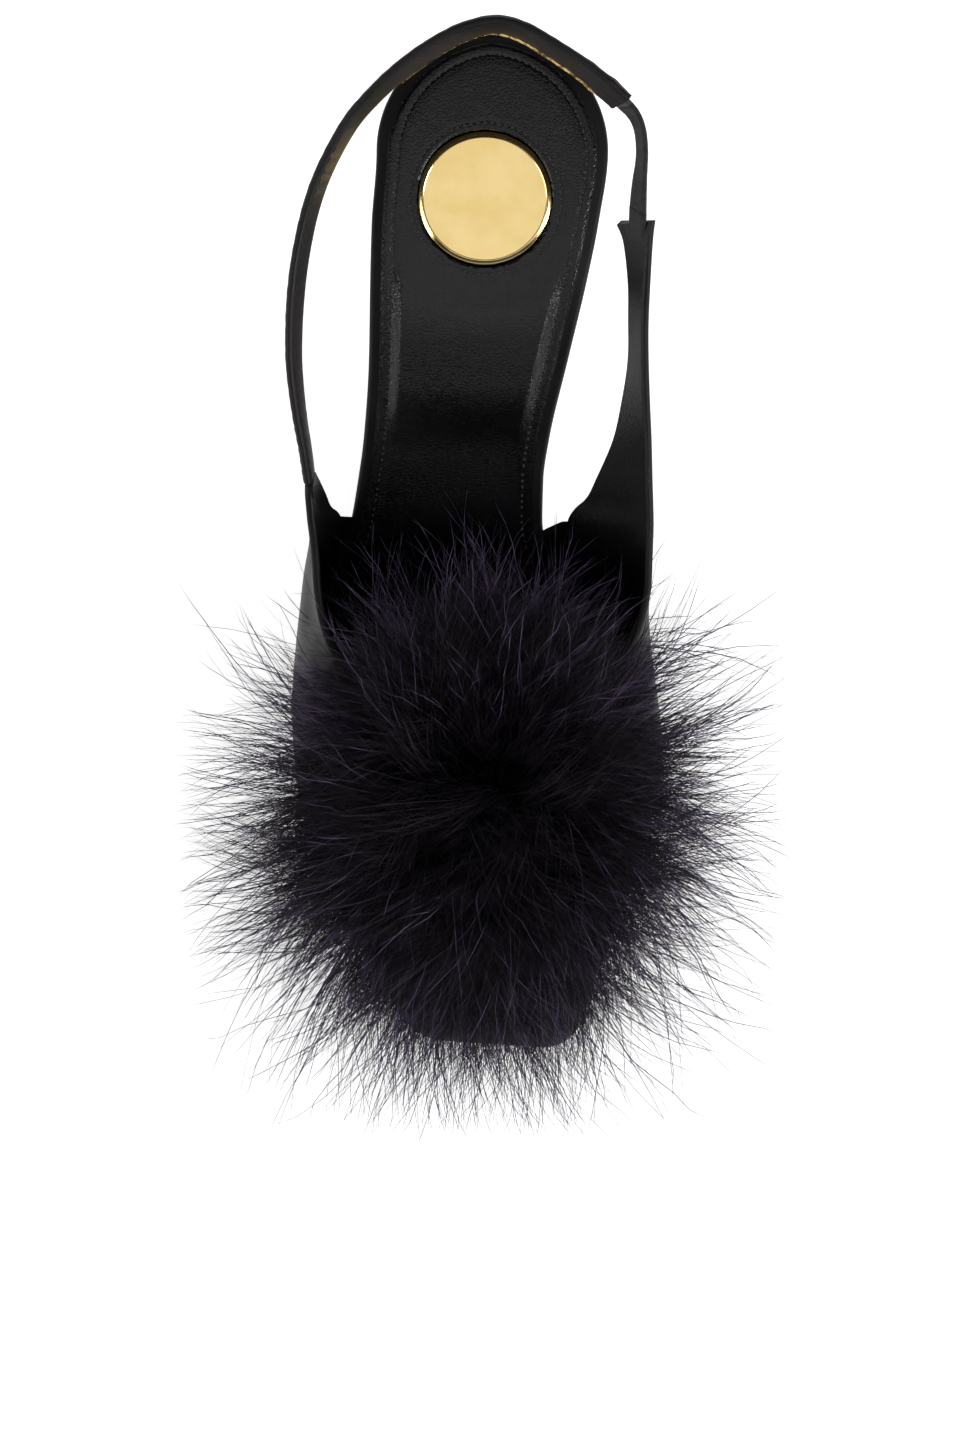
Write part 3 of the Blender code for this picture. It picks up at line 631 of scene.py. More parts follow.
def build_heel(finish):
    """The covered heel with softened edges at seat and tip."""
    outline = heel_outline()
    seat_middle = Vector((disc_across, (tread_share - breast_share / 2) * foot_length, 0))
    tip_middle = Vector((disc_across, (tread_share - tip_share) * foot_length, 0))
    widest = seat_width - 2 * heel_inset
    deepest = breast_share * foot_length
    foot = top_piece_height + clearance
    rings = []
    downs = [0.0, 0.004, 0.010] + [0.02 + 0.965 * k / 46 for k in range(47)] + [0.992, 0.997, 1.0]
    for down in downs:
        narrow = monotone(HEEL_ROWS, 1, down)
        shallow = monotone(HEEL_ROWS, 2, down)
        soft = 1 - 0.012 * (1 - ramp(0.0, 0.008, down)) - 0.05 * ramp(0.988, 1.0, down)
        width_share = (1 + (tip_width / widest - 1) * narrow) * soft
        depth_share = (1 + (tip_depth / deepest - 1) * shallow) * soft
        middle = seat_middle.lerp(tip_middle, shallow)
        ring = []
        for along, x in outline:
            seat = place(along, x, rise(along) + outsole_thickness)
            ring.append(Vector((middle.x + (seat.x - seat_middle.x) * width_share,
                                middle.y + (seat.y - seat_middle.y) * depth_share,
                                foot + (seat.z - foot) * (1 - down))))
        rings.append(ring)
    return add_piece("covered_heel", loft(rings), [finish], ["heel"])


def build_top_piece(finish):
    """The rubber tip with a chamfered foot."""
    seat_middle = Vector((disc_across, (tread_share - breast_share / 2) * foot_length, 0))
    tip_middle = Vector((disc_across, (tread_share - tip_share) * foot_length, 0))
    width_share = tip_width / (seat_width - 2 * heel_inset)
    depth_share = tip_depth / (breast_share * foot_length)
    levels = ((0.0, 0.95), (0.0003, 0.985), (0.0007, 1.0), (0.0044, 1.0), (0.0048, 0.99),
              (top_piece_height, 0.97))
    rings = []
    for z, size in levels:
        ring = []
        for along, x in heel_outline():
            seat = place(along, x, 0)
            ring.append(Vector((tip_middle.x + (seat.x - seat_middle.x) * width_share * size,
                                tip_middle.y + (seat.y - seat_middle.y) * depth_share * size, z)))
        rings.append(ring)
    return add_piece("heel_tip", loft(rings), [finish], ["heel_top_piece"])


# The padded sock and its disc

def disc_seat():
    """Middle of the disc on the sock's surface, and the turn that lays it there."""
    span = disc_radius / foot_length
    top = clearance + sock_thickness
    back = place(disc_share - span, disc_across, board_top(disc_share - span) + top)
    front = place(disc_share + span, disc_across, board_top(disc_share + span) + top)
    slope = math.atan2(back.z - front.z, back.y - front.y)
    return (back + front) / 2, Matrix.Rotation(slope, 3, "X")


seat_centre, seat_turn = disc_seat()
edge_seam = 0.0023
ring_seam = disc_radius * 1.14


def sock_edge_points():
    """The sock's outline as a closed run of points in plan, for distances to its edge."""
    inset = rim_reveal / foot_length
    front = 1 - (sock_toe_gap + rim_reveal) / foot_length
    shares = shares_between(0.0008 + inset, 0.115, 60, True) + shares_between(0.118, front, 300)
    left = [place(along, board_sides(along, rim_reveal)[0], 0) for along in shares]
    right = [place(along, board_sides(along, rim_reveal)[1], 0) for along in shares]
    return np.array([(p.x, p.y) for p in left + right[::-1]])


SOCK_EDGE = sock_edge_points()


def edge_distance(x, y):
    """Distance in plan from the sock's outline."""
    return float(np.sqrt(((SOCK_EDGE - (x, y)) ** 2).sum(1).min()))


def sock_height(x, y):
    """Height of the padded sock over its base: rolled edge, stitched groove and soft crown."""
    d = edge_distance(x, y)
    rolled = sock_thickness * (0.93 + 0.07 * ramp(0.0, 0.0010, d))
    groove = 0.00012 * math.exp(-((d - edge_seam) / 0.00030) ** 2)
    flat = seat_turn.transposed() @ (Vector((x, y, seat_centre.z)) - seat_centre)
    r = math.hypot(flat.x, flat.y / max(seat_turn[1][1], 0.5))
    ring = 0.00010 * math.exp(-((r - ring_seam) / 0.00030) ** 2)
    along = tread_share - y / foot_length
    waist = ramp(0.215, 0.30, along) * (1 - ramp(0.345, 0.405, along))
    crown = (0.0001 + 0.0013 * waist) * ramp(edge_seam, 0.0048, d) * ramp(ring_seam, ring_seam + 0.010, r)
    sink = 0.0016 * (1 - ramp(disc_radius - 0.0002, disc_radius + 0.0003, r))
    return max(rolled - groove * ramp(0.0008, 0.0016, d) + crown - ring - sink, 0.0001)


def build_sock(finish):
    """The padded leather sock as one closed skin with a cut-out for the disc."""
    inset = rim_reveal / foot_length
    front = 1 - (sock_toe_gap + rim_reveal) / foot_length
    shares = shares_between(0.0003 + inset, 0.080, 60, True)
    shares += shares_between(0.0815, 0.242, 90)
    shares += shares_between(0.245, front, 190)
    columns = 104
    rings = []
    for along in shares:
        outer, inner = board_sides(along, rim_reveal)
        low = board_top(along) + clearance
        row = []
        for k in range(columns + 1):
            t = k / columns
            eased = t + 0.055 * math.sin(math.tau * t) * -1.0
            x = outer + (inner - outer) * eased
            point = place(along, x, 0)
            height = sock_height(point.x, point.y)
            row.append(place(along, x, low + height))
        rings.append([place(along, outer, low)] + row + [place(along, inner, low)])
    made = add_piece("padded_sock", loft(rings), [finish], ["sock_lining"], 60)
    return made


def build_disc(finish):
    """The bare polished disc: a bevelled rim with a fine turned line inside it."""
    low = clearance - recess_depth
    high = low + 0.0013
    rim = disc_radius
    profile = ((rim - 0.0002, low), (rim, low + 0.0002), (rim, high - 0.00055), (rim - 0.00008, high - 0.00040),
               (rim - 0.00085, high - 0.00002), (rim - 0.00100, high), (rim - 0.00115, high - 0.00006),
               (rim - 0.00130, high - 0.00004), (rim - 0.00300, high - 0.00001),
               (rim - 0.00600, high), (rim * 0.25, high + 0.00004))
    count = 144
    rings = []
    for reach, z in profile:
        rings.append([seat_centre + seat_turn @ Vector((reach * math.cos(k * math.tau / count),
                                                        reach * math.sin(k * math.tau / count), z))
                      for k in range(count)])
    return add_piece("gold_disc", loft(rings), [finish], ["medallion"], 22)


def sock_surface(x, y):
    """A point on the padded sock under a place in plan."""
    along = tread_share - y / foot_length
    along = tread_share - (y + toe_slant * x * ramp(0.85, 1.0, along)) / foot_length
    return Vector((x, y, board_top(along) + clearance + sock_height(x, y)))


def build_sock_stitches(finish):
    """Sunk stitches along the sock's edge and round the disc."""
    made = bmesh.new()
    centre = SOCK_EDGE.mean(0)
    run = np.roll(SOCK_EDGE, -1, 0) - np.roll(SOCK_EDGE, 1, 0)
    length = np.sqrt((run ** 2).sum(1))
    keep = length > 1e-6
    normal = np.stack([-run[:, 1], run[:, 0]], 1)[keep] / length[keep][:, None]
    points = SOCK_EDGE[keep]
    flip = ((centre - points) * normal).sum(1)
    if flip.mean() < 0:
        normal = -normal
    seam = points + normal * edge_seam
    inside = np.array([edge_distance(*p) > edge_seam * 0.93 for p in seam])
    seam = seam[inside]
    pitch = 0.0015
    travelled = pitch
    for i in range(1, len(seam)):
        step = seam[i] - seam[i - 1]
        size = float(np.hypot(*step))
        if size > 0.01:
            continue
        travelled += size
        if travelled >= pitch:
            travelled -= pitch
            point = sock_surface(*seam[i])
            ahead = sock_surface(*(seam[i] + step / max(size, 1e-9) * 0.001))
            up = Vector((0, 0, 1))
            add_bead(made, point + up * 0.00004, ahead - point, up, 0.00080, 0.00056, 0.00026)
    number = 68
    for k in range(number):
        turn = k * math.tau / number
        flat = seat_centre + seat_turn @ Vector((ring_seam * math.cos(turn), ring_seam * math.sin(turn), 0))
        point = sock_surface(flat.x, flat.y)
        along = seat_turn @ Vector((-math.sin(turn), math.cos(turn), 0))
        up = seat_turn @ Vector((0, 0, 1))
        add_bead(made, point + up * 0.00004, along, up, 0.00080, 0.00056, 0.00026)
    return add_piece("sock_stitches", made, [finish])


# The upper

def lasted_edge():
    """Where the upper's outer face meets the sole: the board's edge, moved out by the wall."""
    corner = 1.3 * toe_corner_radius / foot_length
    sides = shares_between(lasted_start, 1 - corner, 90)
    sides += shares_between(1 - corner, 1.0, 24, False, True)[1:]
    path = [place(along, board_sides(along)[0], 0) for along in sides]
    back = [along for along in reversed(sides) if along > lasted_end]
    path += [place(along, board_sides(along)[1], 0) for along in back]
    offset = upper_wall + board_gap
    moved = []
    for i, point in enumerate(path):
        run = path[min(i + 4, len(path) - 1)] - path[max(i - 4, 0)]
        outward = Vector((run.y, -run.x, 0)).normalized()
        moved.append(point + outward * offset)
    lengths = [0.0]
    for first, second in zip(moved, moved[1:]):
        lengths.append(lengths[-1] + (second - first).length)
    return moved, lengths


def edge_point(edge, share):
    """A point at a share of the lasted edge's length, and the outward direction there."""
    points, lengths = edge
    goal = share * lengths[-1]
    i = 0
    while i < len(lengths) - 2 and lengths[i + 1] < goal:
        i += 1
    t = (goal - lengths[i]) / (lengths[i + 1] - lengths[i])
    point = points[i].lerp(points[i + 1], t)
    run = points[min(i + 6, len(points) - 1)] - points[max(i - 5, 0)]
    along = min(tread_share - point.y / foot_length, 1.0)
    point.z = rise(along) + outsole_thickness + clearance
    return point, Vector((run.y, -run.x, 0)).normalized()


def free_section(row):
    top = on_last(*row[0:3])
    low = on_last(*row[3:6])
    side = Vector((math.copysign(row[6] * instep_height, top.x), 0, 0))
    return [top, top.lerp(low, 1 / 3) + side, top.lerp(low, 2 / 3) + side, low]


def lasted_section(row, edge):
    top = on_last(*row[0:3])
    low, outward = edge_point(edge, row[3])
    reach, fall, stand, fullness = row[4:8]
    drop = Vector((0, 0, top.z - low.z))
    level = Vector((low.x - top.x, low.y - top.y, 0))
    bulge = outward * fullness * instep_height
    if reach < 0.08:
        return [top, top.lerp(low, 1 / 3) + bulge, top.lerp(low, 2 / 3) + bulge, low]
    return [top, top + level * reach - drop * fall, low + drop * stand + bulge, low]


def upper_sections(columns_per_row):
    """Control points of each section of the upper, from the strap round to the sleeve."""
    edge = lasted_edge()
    sections = [free_section(row) for row in OUTER_FREE_ROWS]
    sections += [lasted_section(row, edge) for row in LASTED_ROWS]
    sections += [free_section(row) for row in INNER_FREE_ROWS]
    columns = [through([section[k] for section in sections], columns_per_row) for k in range(4)]
    shares = through([Vector((row[3], 0, 0)) for row in LASTED_ROWS], columns_per_row)
    first = len(OUTER_FREE_ROWS) * columns_per_row
    for i, share in enumerate(shares):
        low, outward = edge_point(edge, share.x)
        moved = low - columns[3][first + i]
        columns[3][first + i] = low
        columns[2][first + i] += moved
    for column in columns[2:]:
        ease_joint(column, first, columns_per_row)
        ease_joint(column, first + len(shares) - 1, columns_per_row)
    return list(zip(*columns))


def ease_joint(column, joint, width):
    """Even out a run of points where the free edge meets the edge under the board."""
    for _ in range(width * 3):
        before = [point.copy() for point in column]
        for i in range(joint - width, joint + width + 1):
            column[i] = before[i] * 0.5 + (before[i - 1] + before[i + 1]) * 0.25


def bezier(points, t):
    s = 1 - t
    return (points[0] * s ** 3 + points[1] * 3 * s * s * t + points[2] * 3 * s * t * t
            + points[3] * t ** 3)


def build_upper(satin, lining):
    """The satin upper and its leather lining, one closed wall with a rounded topline."""
    steps = 30
    grid = []
    for section in upper_sections(8):
        grid.append([bezier(section, (i / steps) ** 1.15) for i in range(steps + 1)])
    rings = []
    last = len(grid) - 1
    for i, section in enumerate(grid):
        inside = []
        for k, point in enumerate(section):
            across = grid[min(i + 1, last)][k] - grid[max(i - 1, 0)][k]
            down = section[min(k + 1, steps)] - section[max(k - 1, 0)]
            inside.append(point + across.cross(down).normalized() * upper_wall)
        inside[-1].z = max(inside[-1].z, section[-1].z)
        out, lead = section[0], (section[0] - section[1]).normalized()
        through_wall = inside[0] - out
        roll = []
        for turn in (30, 60, 90, 120, 150):
            angle = math.radians(turn)
            roll.append(out + through_wall * (0.5 + 0.5 * math.cos(angle))
                        + lead * (0.42 * upper_wall * math.sin(angle)))
        rings.append(section + inside[::-1] + roll)
    marks = [0] * steps + [0] + [1] * steps + [1, 1, 0, 0, 0, 0]
    made = loft(rings, marks)
    return add_piece("satin_upper", made, [satin, lining], ["upper"], 50), grid


# Strap and elastic

def strap_frames(rows, steps):
    """Path, upward and outward directions along a strip, as the part's source lays it."""
    path = through([on_last(*row[0:3]) for row in rows], steps)
    leans = through([Vector((row[3], 0, 0)) for row in rows], steps)
    middle_y = (tread_share - strap_middle_share) * foot_length
    frames = []
    for i, point in enumerate(path):
        run = (path[min(i + 1, len(path) - 1)] - path[max(i - 1, 0)]).normalized()
        outward = Vector((-run.y, run.x, 0)).normalized()
        if outward.dot(Vector((point.x, point.y - middle_y, 0))) < 0:
            outward = -outward
        upward = outward.cross(run).normalized()
        if upward.z < 0:
            upward = -upward
        lean = math.radians(leans[i].x)
        frames.append((point, upward * math.cos(lean) + outward * math.sin(lean),
                       outward * math.cos(lean) - upward * math.sin(lean), run))
    return frames


def strip_ring(point, up, out, width, thickness, arc=5, flat=8, crown=0.0):
    """A flat strip's section with round edges, as a closed ring."""
    half, depth = width / 2, thickness / 2
    ring = []
    for k in range(flat + 1):
        t = -1 + 2 * k / flat
        ring.append(point + up * (t * (half - depth)) + out * (depth + crown * (1 - t * t)))
    for k in range(1, arc):
        turn = math.pi * k / arc
        ring.append(point + up * (half - depth + depth * math.sin(turn)) + out * depth * math.cos(turn))
    for k in range(flat + 1):
        t = 1 - 2 * k / flat
        ring.append(point + up * (t * (half - depth)) - out * (depth + crown * (1 - t * t)))
    for k in range(1, arc):
        turn = math.pi * k / arc
        ring.append(point - up * (half - depth + depth * math.sin(turn)) - out * depth * math.cos(turn))
    return ring


def build_strap(finish):
    """The folded satin strap, with faint puckers and a gathered end over the elastic."""
    frames = strap_frames(STRAP_ROWS, 14)
    last = len(frames) - 1
    rings = []
    travelled = 0.0
    total = sum((frames[i + 1][0] - frames[i][0]).length for i in range(last))
    for i, (point, up, out, run) in enumerate(frames):
        if i:
            travelled += (point - frames[i - 1][0]).length
        from_end = total - travelled
        gather = 1 - ramp(0.002, 0.016, from_end)
        pucker = 0.00004 * math.sin(travelled * 1700) * math.sin(travelled * 410 + 1.3)
        width = strap_width * (1 + 0.10 * gather) + pucker * 2
        thickness = strap_thickness * (1 + 0.30 * gather)
        ring = strip_ring(point, up, out, width, thickness, 5, 10, 0.00012)
        for k, spot in enumerate(ring):
            fold = math.sin(k * 1.9 + travelled * 900) * 0.00016 * gather
            ring[k] = spot + out * fold + out * pucker * 0.6
        rings.append(ring)
    return add_piece("satin_strap", loft(rings), [finish], ["sling_strap"], 60), frames


def build_elastic(finish):
    """The ribbed elastic between the strap's end and the inner quarter."""
    frames = strap_frames(ELASTIC_ROWS, 40)
    first, last = frames[0], frames[-1]
    frames = [(first[0] - first[3] * 0.0025, *first[1:])] + frames
    frames = frames + [(last[0] + last[3] * reach, *last[1:]) for reach in (0.002, 0.0045, 0.007)]
    rings = []
    for i, (point, up, out, run) in enumerate(frames):
        rib = 0.00010 * math.sin(i * 1.55)
        rings.append(strip_ring(point, up, out, elastic_width + rib, elastic_thickness + rib, 4, 8))
    return add_piece("elastic_band", loft(rings), [finish], ["elastic"], 60)


def build_lasting(finish, grid):
    """The satin turned under the board, which closes the gap between wall and board."""
    made = bmesh.new()
    first = (len(OUTER_FREE_ROWS) - 1) * 8
    last = (len(OUTER_FREE_ROWS) + len(LASTED_ROWS)) * 8
    loops = []
    for i in range(first, last + 1):
        point = grid[i][-1]
        along = min(tread_share - point.y / foot_length, 0.995)
        outer, inner = board_sides(along)
        if i < (first + last) / 2:
            grown = ramp(0.4580, 0.4770, along)
            under = place(along, outer + 0.002, 0)
        else:
            grown = ramp(0.4690, 0.4920, along)
            under = place(along, inner - 0.002, 0)
        if along > 0.97:
            under = Vector((point.x, place(0.985, point.x, 0).y, 0))
        under.z = rise(along) + outsole_thickness + 0.0002
        row = [point + Vector((0, 0, -0.00012)), point.lerp(under, 0.5 * grown), point.lerp(under, grown)]
        loops.append([made.verts.new(spot) for spot in row])
    for start, end in zip(loops, loops[1:]):
        for k in range(2):
            made.faces.new((start[k], start[k + 1], end[k + 1], end[k]))
    return add_piece("lasting_margin", made, [finish], (), 0)


def build_foil(finish, frames):
    """The crinkled gold line along the lower inner edge of the strap's back."""
    total = len(frames) - 1
    start, end = int(total * 0.60), int(total * 0.985)
    made = bmesh.new()
    rng = np.random.default_rng(5)
    loops = []
    for i in range(start, end):
        point, up, out, run = frames[i]
        fade = ramp(total * 0.74, total * 0.80, i) * (1 - ramp(end - 12, end, i))
        wide = 0.00003 + 0.00032 * fade
        low = strap_width * 0.44 + rng.uniform(-0.00007, 0.00007)
        row = []
        for k in range(5):
            t = k / 4
            crinkle = rng.uniform(-0.00005, 0.00005)
            spot = point - up * (low + wide * t)
            spot -= out * (strap_thickness / 2 + 0.00004 + crinkle + wide * t)
            row.append(made.verts.new(spot))
        loops.append(row)
    for first, second in zip(loops, loops[1:]):
        for k in range(4):
            made.faces.new((first[k], first[k + 1], second[k + 1], second[k]))
    return add_piece("foil_strip", made, [finish], (), 0)


def build_edge_stitches(finish, frames):
    """Fine stitches near the strap's upper edge."""
    made = bmesh.new()
    travelled = 0.0
    for i in range(1, len(frames) - 6):
        point, up, out, run = frames[i]
        travelled += (point - frames[i - 1][0]).length
        if travelled < 0.0022:
            continue
        travelled = 0.0
        for side in (1, -1):
            spot = point + up * (strap_width / 2 - 0.0013) + out * side * (strap_thickness / 2 + 0.0001)
            add_bead(made, spot, run, out * side, 0.0014, 0.00026, 0.00016)
    return add_piece("strap_stitches", made, [finish])


# The pompom

pompom_x = 0.0
pompom_y = 0.0010
pompom_half_x = 0.0270
pompom_half_y = 0.0330
down_limit_x = 0.0690
down_limit_y = 0.0800


def vamp_tree(upper):
    source = bmesh.new()
    source.from_mesh(upper.data)
    tree = BVHTree.FromBMesh(source)
    source.free()
    return tree


def under_height(tree, x, y):
    """Height of what lies under the pompom: the vamp, or a soft fall past its edge."""
    hit = tree.ray_cast(Vector((x, y, 0.12)), Vector((0, 0, -1)))
    if hit[0] is not None:
        return hit[0].z
    return None


def build_core(tree, finish):
    """A low rough mound on the vamp under the down, in a darker copy of the down's colour: painted shade deep
    inside the pompom.
    """
    made = bmesh.new()
    rng = np.random.default_rng(3)
    loops = []
    count = 72
    middle = under_height(tree, 0.0, -0.012)
    for ring in range(15):
        r = ring / 14
        row = []
        for k in range(count):
            turn = k * math.tau / count
            x = pompom_x + pompom_half_x * 0.96 * r * math.cos(turn)
            y = pompom_y - 0.006 + pompom_half_y * 0.92 * r * math.sin(turn)
            base = under_height(tree, x, y)
            rough = rng.uniform(-0.0007, 0.0007)
            top = middle + 0.020 * (1 - r ** 2.4) + rough
            low = (base if base is not None else middle - 0.004) + 0.0009
            row.append(made.verts.new((x, y, max(low, top if r < 0.99 else low))))
        loops.append(row)
    for first, second in zip(loops[1:], loops[2:]):
        for k in range(count):
            j = (k + 1) % count
            made.faces.new((first[k], first[j], second[j], second[k]))
    crown = made.verts.new((pompom_x, pompom_y - 0.006, middle + 0.0205))
    for k in range(count):
        made.faces.new((crown, loops[1][k], loops[1][(k + 1) % count]))
    return add_piece("down_core", made, [finish], ["pompom"], 0)


def unit(vectors):
    return vectors / np.maximum(np.linalg.norm(vectors, axis=-1, keepdims=True), 1e-12)


def strands_mesh(name, roots, headings, lengths, droop, curl, kink, width, steps, rng, finish):
    """Many fine tapered strands as one mesh of narrow ribbons."""
    number = len(roots)
    t = np.linspace(0, 1, steps + 1)[None, :, None]
    size = lengths[:, None, None]
    path = roots[:, None, :] + size * (headings[:, None, :] * t + curl[:, None, :] * t ** 2)
    path[:, :, 2] -= (lengths[:, None] * droop[:, None]) * (t[:, :, 0] ** 2.2)
    helper = unit(rng.normal(size=(number, 3)))
    side_a = unit(np.cross(headings, helper))
    side_b = unit(np.cross(headings, side_a))
    for axis, base in ((side_a, 1.2), (side_b, 1.9)):
        waves = base + rng.uniform(0, 1.6, (number, 1))
        phase = rng.uniform(0, math.tau, (number, 1))
        sway = np.sin(waves * math.tau * t[:, :, 0] + phase) - np.sin(phase)
        path += axis[:, None, :] * (size * kink[:, None, None] * t * sway[:, :, None])
    reach = path - roots[:, None, :]
    over = np.maximum(np.abs(path[:, :, 0]).max(1) / down_limit_x, 1.0)
    over = np.maximum(over, -(path[:, :, 1]).min(1) / down_limit_y)
    path = roots[:, None, :] + reach / (over ** 1.6)[:, None, None]
    path[:, :, 2] = np.maximum(path[:, :, 2], 0.0012)
    run = np.gradient(path, axis=1)
    ribbon = unit(np.cross(run, unit(rng.normal(size=(number, 3)))[:, None, :]))
    taper = (1 - np.linspace(0, 1, steps + 1)) ** 0.55
    half = width[:, None] / 2 * (0.25 + 0.75 * taper[None, :])
    left = path - ribbon * half[:, :, None]
    right = path + ribbon * half[:, :, None]
    points = np.concatenate([left[:, :-1], right[:, :-1], path[:, -1:]], axis=1)
    per = 2 * steps + 1
    quads = []
    for k in range(steps - 1):
        quads.append((k, steps + k, steps + k + 1, k + 1))
    quads = np.array(quads)
    tip = np.array((steps - 1, 2 * steps - 1, 2 * steps))
    base = (np.arange(number) * per)[:, None]
    corners = np.concatenate([(base + quads.reshape(1, -1)), base + tip[None, :]], axis=1)
    per_faces = steps
    sizes = np.tile(np.array([4] * (steps - 1) + [3]), number)
    starts = np.concatenate([[0], np.cumsum(sizes)[:-1]])
    mesh = bpy.data.meshes.new(name)
    mesh.vertices.add(number * per)
    mesh.vertices.foreach_set("co", points.reshape(-1).astype(np.float32))
    mesh.loops.add(corners.size)
    mesh.loops.foreach_set("vertex_index", corners.reshape(-1).astype(np.int32))
    mesh.polygons.add(number * per_faces)
    mesh.polygons.foreach_set("loop_start", starts.astype(np.int32))
    mesh.update(calc_edges=True)
    mesh.validate()
    mesh.shade_smooth()
    mesh.materials.append(finish)
    made = bpy.data.objects.new(name, mesh)
    bpy.context.scene.collection.objects.link(made)
    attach(made, "root")
    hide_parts("pompom")
    return made


def down_tufts(rng, tree, tufts, per_tuft, share_low, share_high):
    """Roots, headings, lengths and curls of the strands of many small plumes."""
    middle = under_height(tree, 0.0, -0.012)
    share = np.sqrt(rng.uniform(share_low ** 2, share_high ** 2, tufts))
    turn = rng.uniform(0, math.tau, tufts)
    root_x = pompom_x + pompom_half_x * share * np.cos(turn)
    root_y = pompom_y + pompom_half_y * share * np.sin(turn) - 0.004
    base = np.array([under_height(tree, x, y) or middle - 0.004 for x, y in zip(root_x, root_y)])
    root_z = np.maximum(base + 0.001, middle + 0.019 * (1 - share ** 2.4))
    outward = np.arctan2(root_y - pompom_y, root_x - pompom_x) + rng.normal(0, 0.28, tufts)
    tilt = np.radians(82 - 84 * share ** 0.8 + rng.normal(0, 9, tufts))
    tilt += np.radians(10) * np.maximum(np.sin(outward), 0) * share
    heading = np.stack([np.cos(outward) * np.cos(tilt), np.sin(outward) * np.cos(tilt), np.sin(tilt)], 1)
    low_side = np.maximum(-np.sin(outward), 0) * share
    reach = 0.0245 + 0.0050 * share + 0.0030 * low_side + rng.normal(0, 0.0034, tufts)
    reach *= 1 - 0.48 * np.maximum(np.sin(outward), 0) * share
    swirl = rng.normal(0, 0.36, tufts)
    sideways = np.stack([-np.sin(outward), np.cos(outward), np.zeros(tufts)], 1) * swirl[:, None]
    number = tufts * per_tuft
    index = np.repeat(np.arange(tufts), per_tuft)
    quill = rng.uniform(0, 1, number) ** 1.5
    roots = np.stack([root_x, root_y, root_z], 1)[index]
    roots += rng.normal(0, 0.0011, (number, 3))
    roots += heading[index] * (quill * reach[index] * 0.34)[:, None]
    headings = unit(heading[index] + rng.normal(0, 0.12, (number, 3)))
    lengths = reach[index] * (1 - 0.25 * quill) * (0.45 + 0.85 * rng.uniform(0, 1, number) ** 1.4)
    curl = sideways[index] + rng.normal(0, 0.10, (number, 3))
    droop = 0.05 + 0.26 * share[index] + rng.uniform(0, 0.16, number)
    return roots, headings, lengths, droop, curl


def build_down(tree, finish, lit_strand_finish):
    """The down in a few meshes, and the long single strands that stand out from it."""
    made = []
    parts = (("down_crown", 230, 70, 0.00, 0.55, 21), ("down_middle", 220, 65, 0.35, 0.85, 22),
             ("down_outer", 190, 44, 0.70, 1.00, 23))
    for name, tufts, per_tuft, low, high, seed in parts:
        rng = np.random.default_rng(seed)
        roots, headings, lengths, droop, curl = down_tufts(rng, tree, tufts, per_tuft, low, high)
        number = len(roots)
        kink = rng.uniform(0.004, 0.018, number)
        width = rng.uniform(0.00012, 0.00024, number)
        made.append(strands_mesh(name, roots, headings, lengths, droop, curl, kink, width, 6, rng,
                                 finish))
    # The fringe and long strands take the lighter copy of the down's colour, painted light on the lit outer
    # strands.
    fringe = (("down_fringe", 185, 20, 0.72, 1.06, 41, 1.32), ("down_wisps", 560, 3, 0.30, 1.05, 31, 1.60))
    for name, tufts, per_tuft, low, high, seed, longer in fringe:
        rng = np.random.default_rng(seed)
        roots, headings, lengths, droop, curl = down_tufts(rng, tree, tufts, per_tuft, low, high)
        lengths = lengths * rng.uniform(0.9, 1.2, len(lengths)) * longer
        kink = rng.uniform(0.002, 0.020, len(lengths))
        width = rng.uniform(0.00018, 0.00032, len(lengths))
        made.append(strands_mesh(name, roots, headings, lengths, droop * 0.8, curl * 0.7, kink,
                                 width, 9, rng, lit_strand_finish))
    return made


# Floor, lights and camera

def build_stage():
    bpy.ops.mesh.primitive_plane_add(size=12, location=(0, 0, -0.0002))
    floor = bpy.context.object
    floor.name = "floor"
    finish, tree, shader = plain("pale_floor", (0.90, 0.90, 0.90), 0.9, specular=0.1)
    shader.inputs["Emission Color"].default_value = (1.0, 1.0, 1.0, 1.0)
    where = tree.nodes.new("ShaderNodeTexCoord")
    reach = tree.nodes.new("ShaderNodeVectorMath")
    reach.operation = "LENGTH"
    link(tree, where, "Object", reach, "Vector")
    glow = spread(tree, reach, "Value", 0.25, 1.2, 0.60, 0.88)
    link(tree, glow, "Result", shader, "Emission Strength")
    floor.data.materials.append(finish)


def area_light(name, place_at, aim, size, power, colour=(1.0, 1.0, 1.0)):
    data = bpy.data.lights.new(name, "AREA")
    data.shape = "RECTANGLE"
    data.size, data.size_y = size
    data.energy = power
    data.color = colour
    made = bpy.data.objects.new(name, data)
    made.location = place_at
    made.rotation_euler = (Vector(aim) - Vector(place_at)).to_track_quat("-Z", "Y").to_euler()
    bpy.context.scene.collection.objects.link(made)
    return made


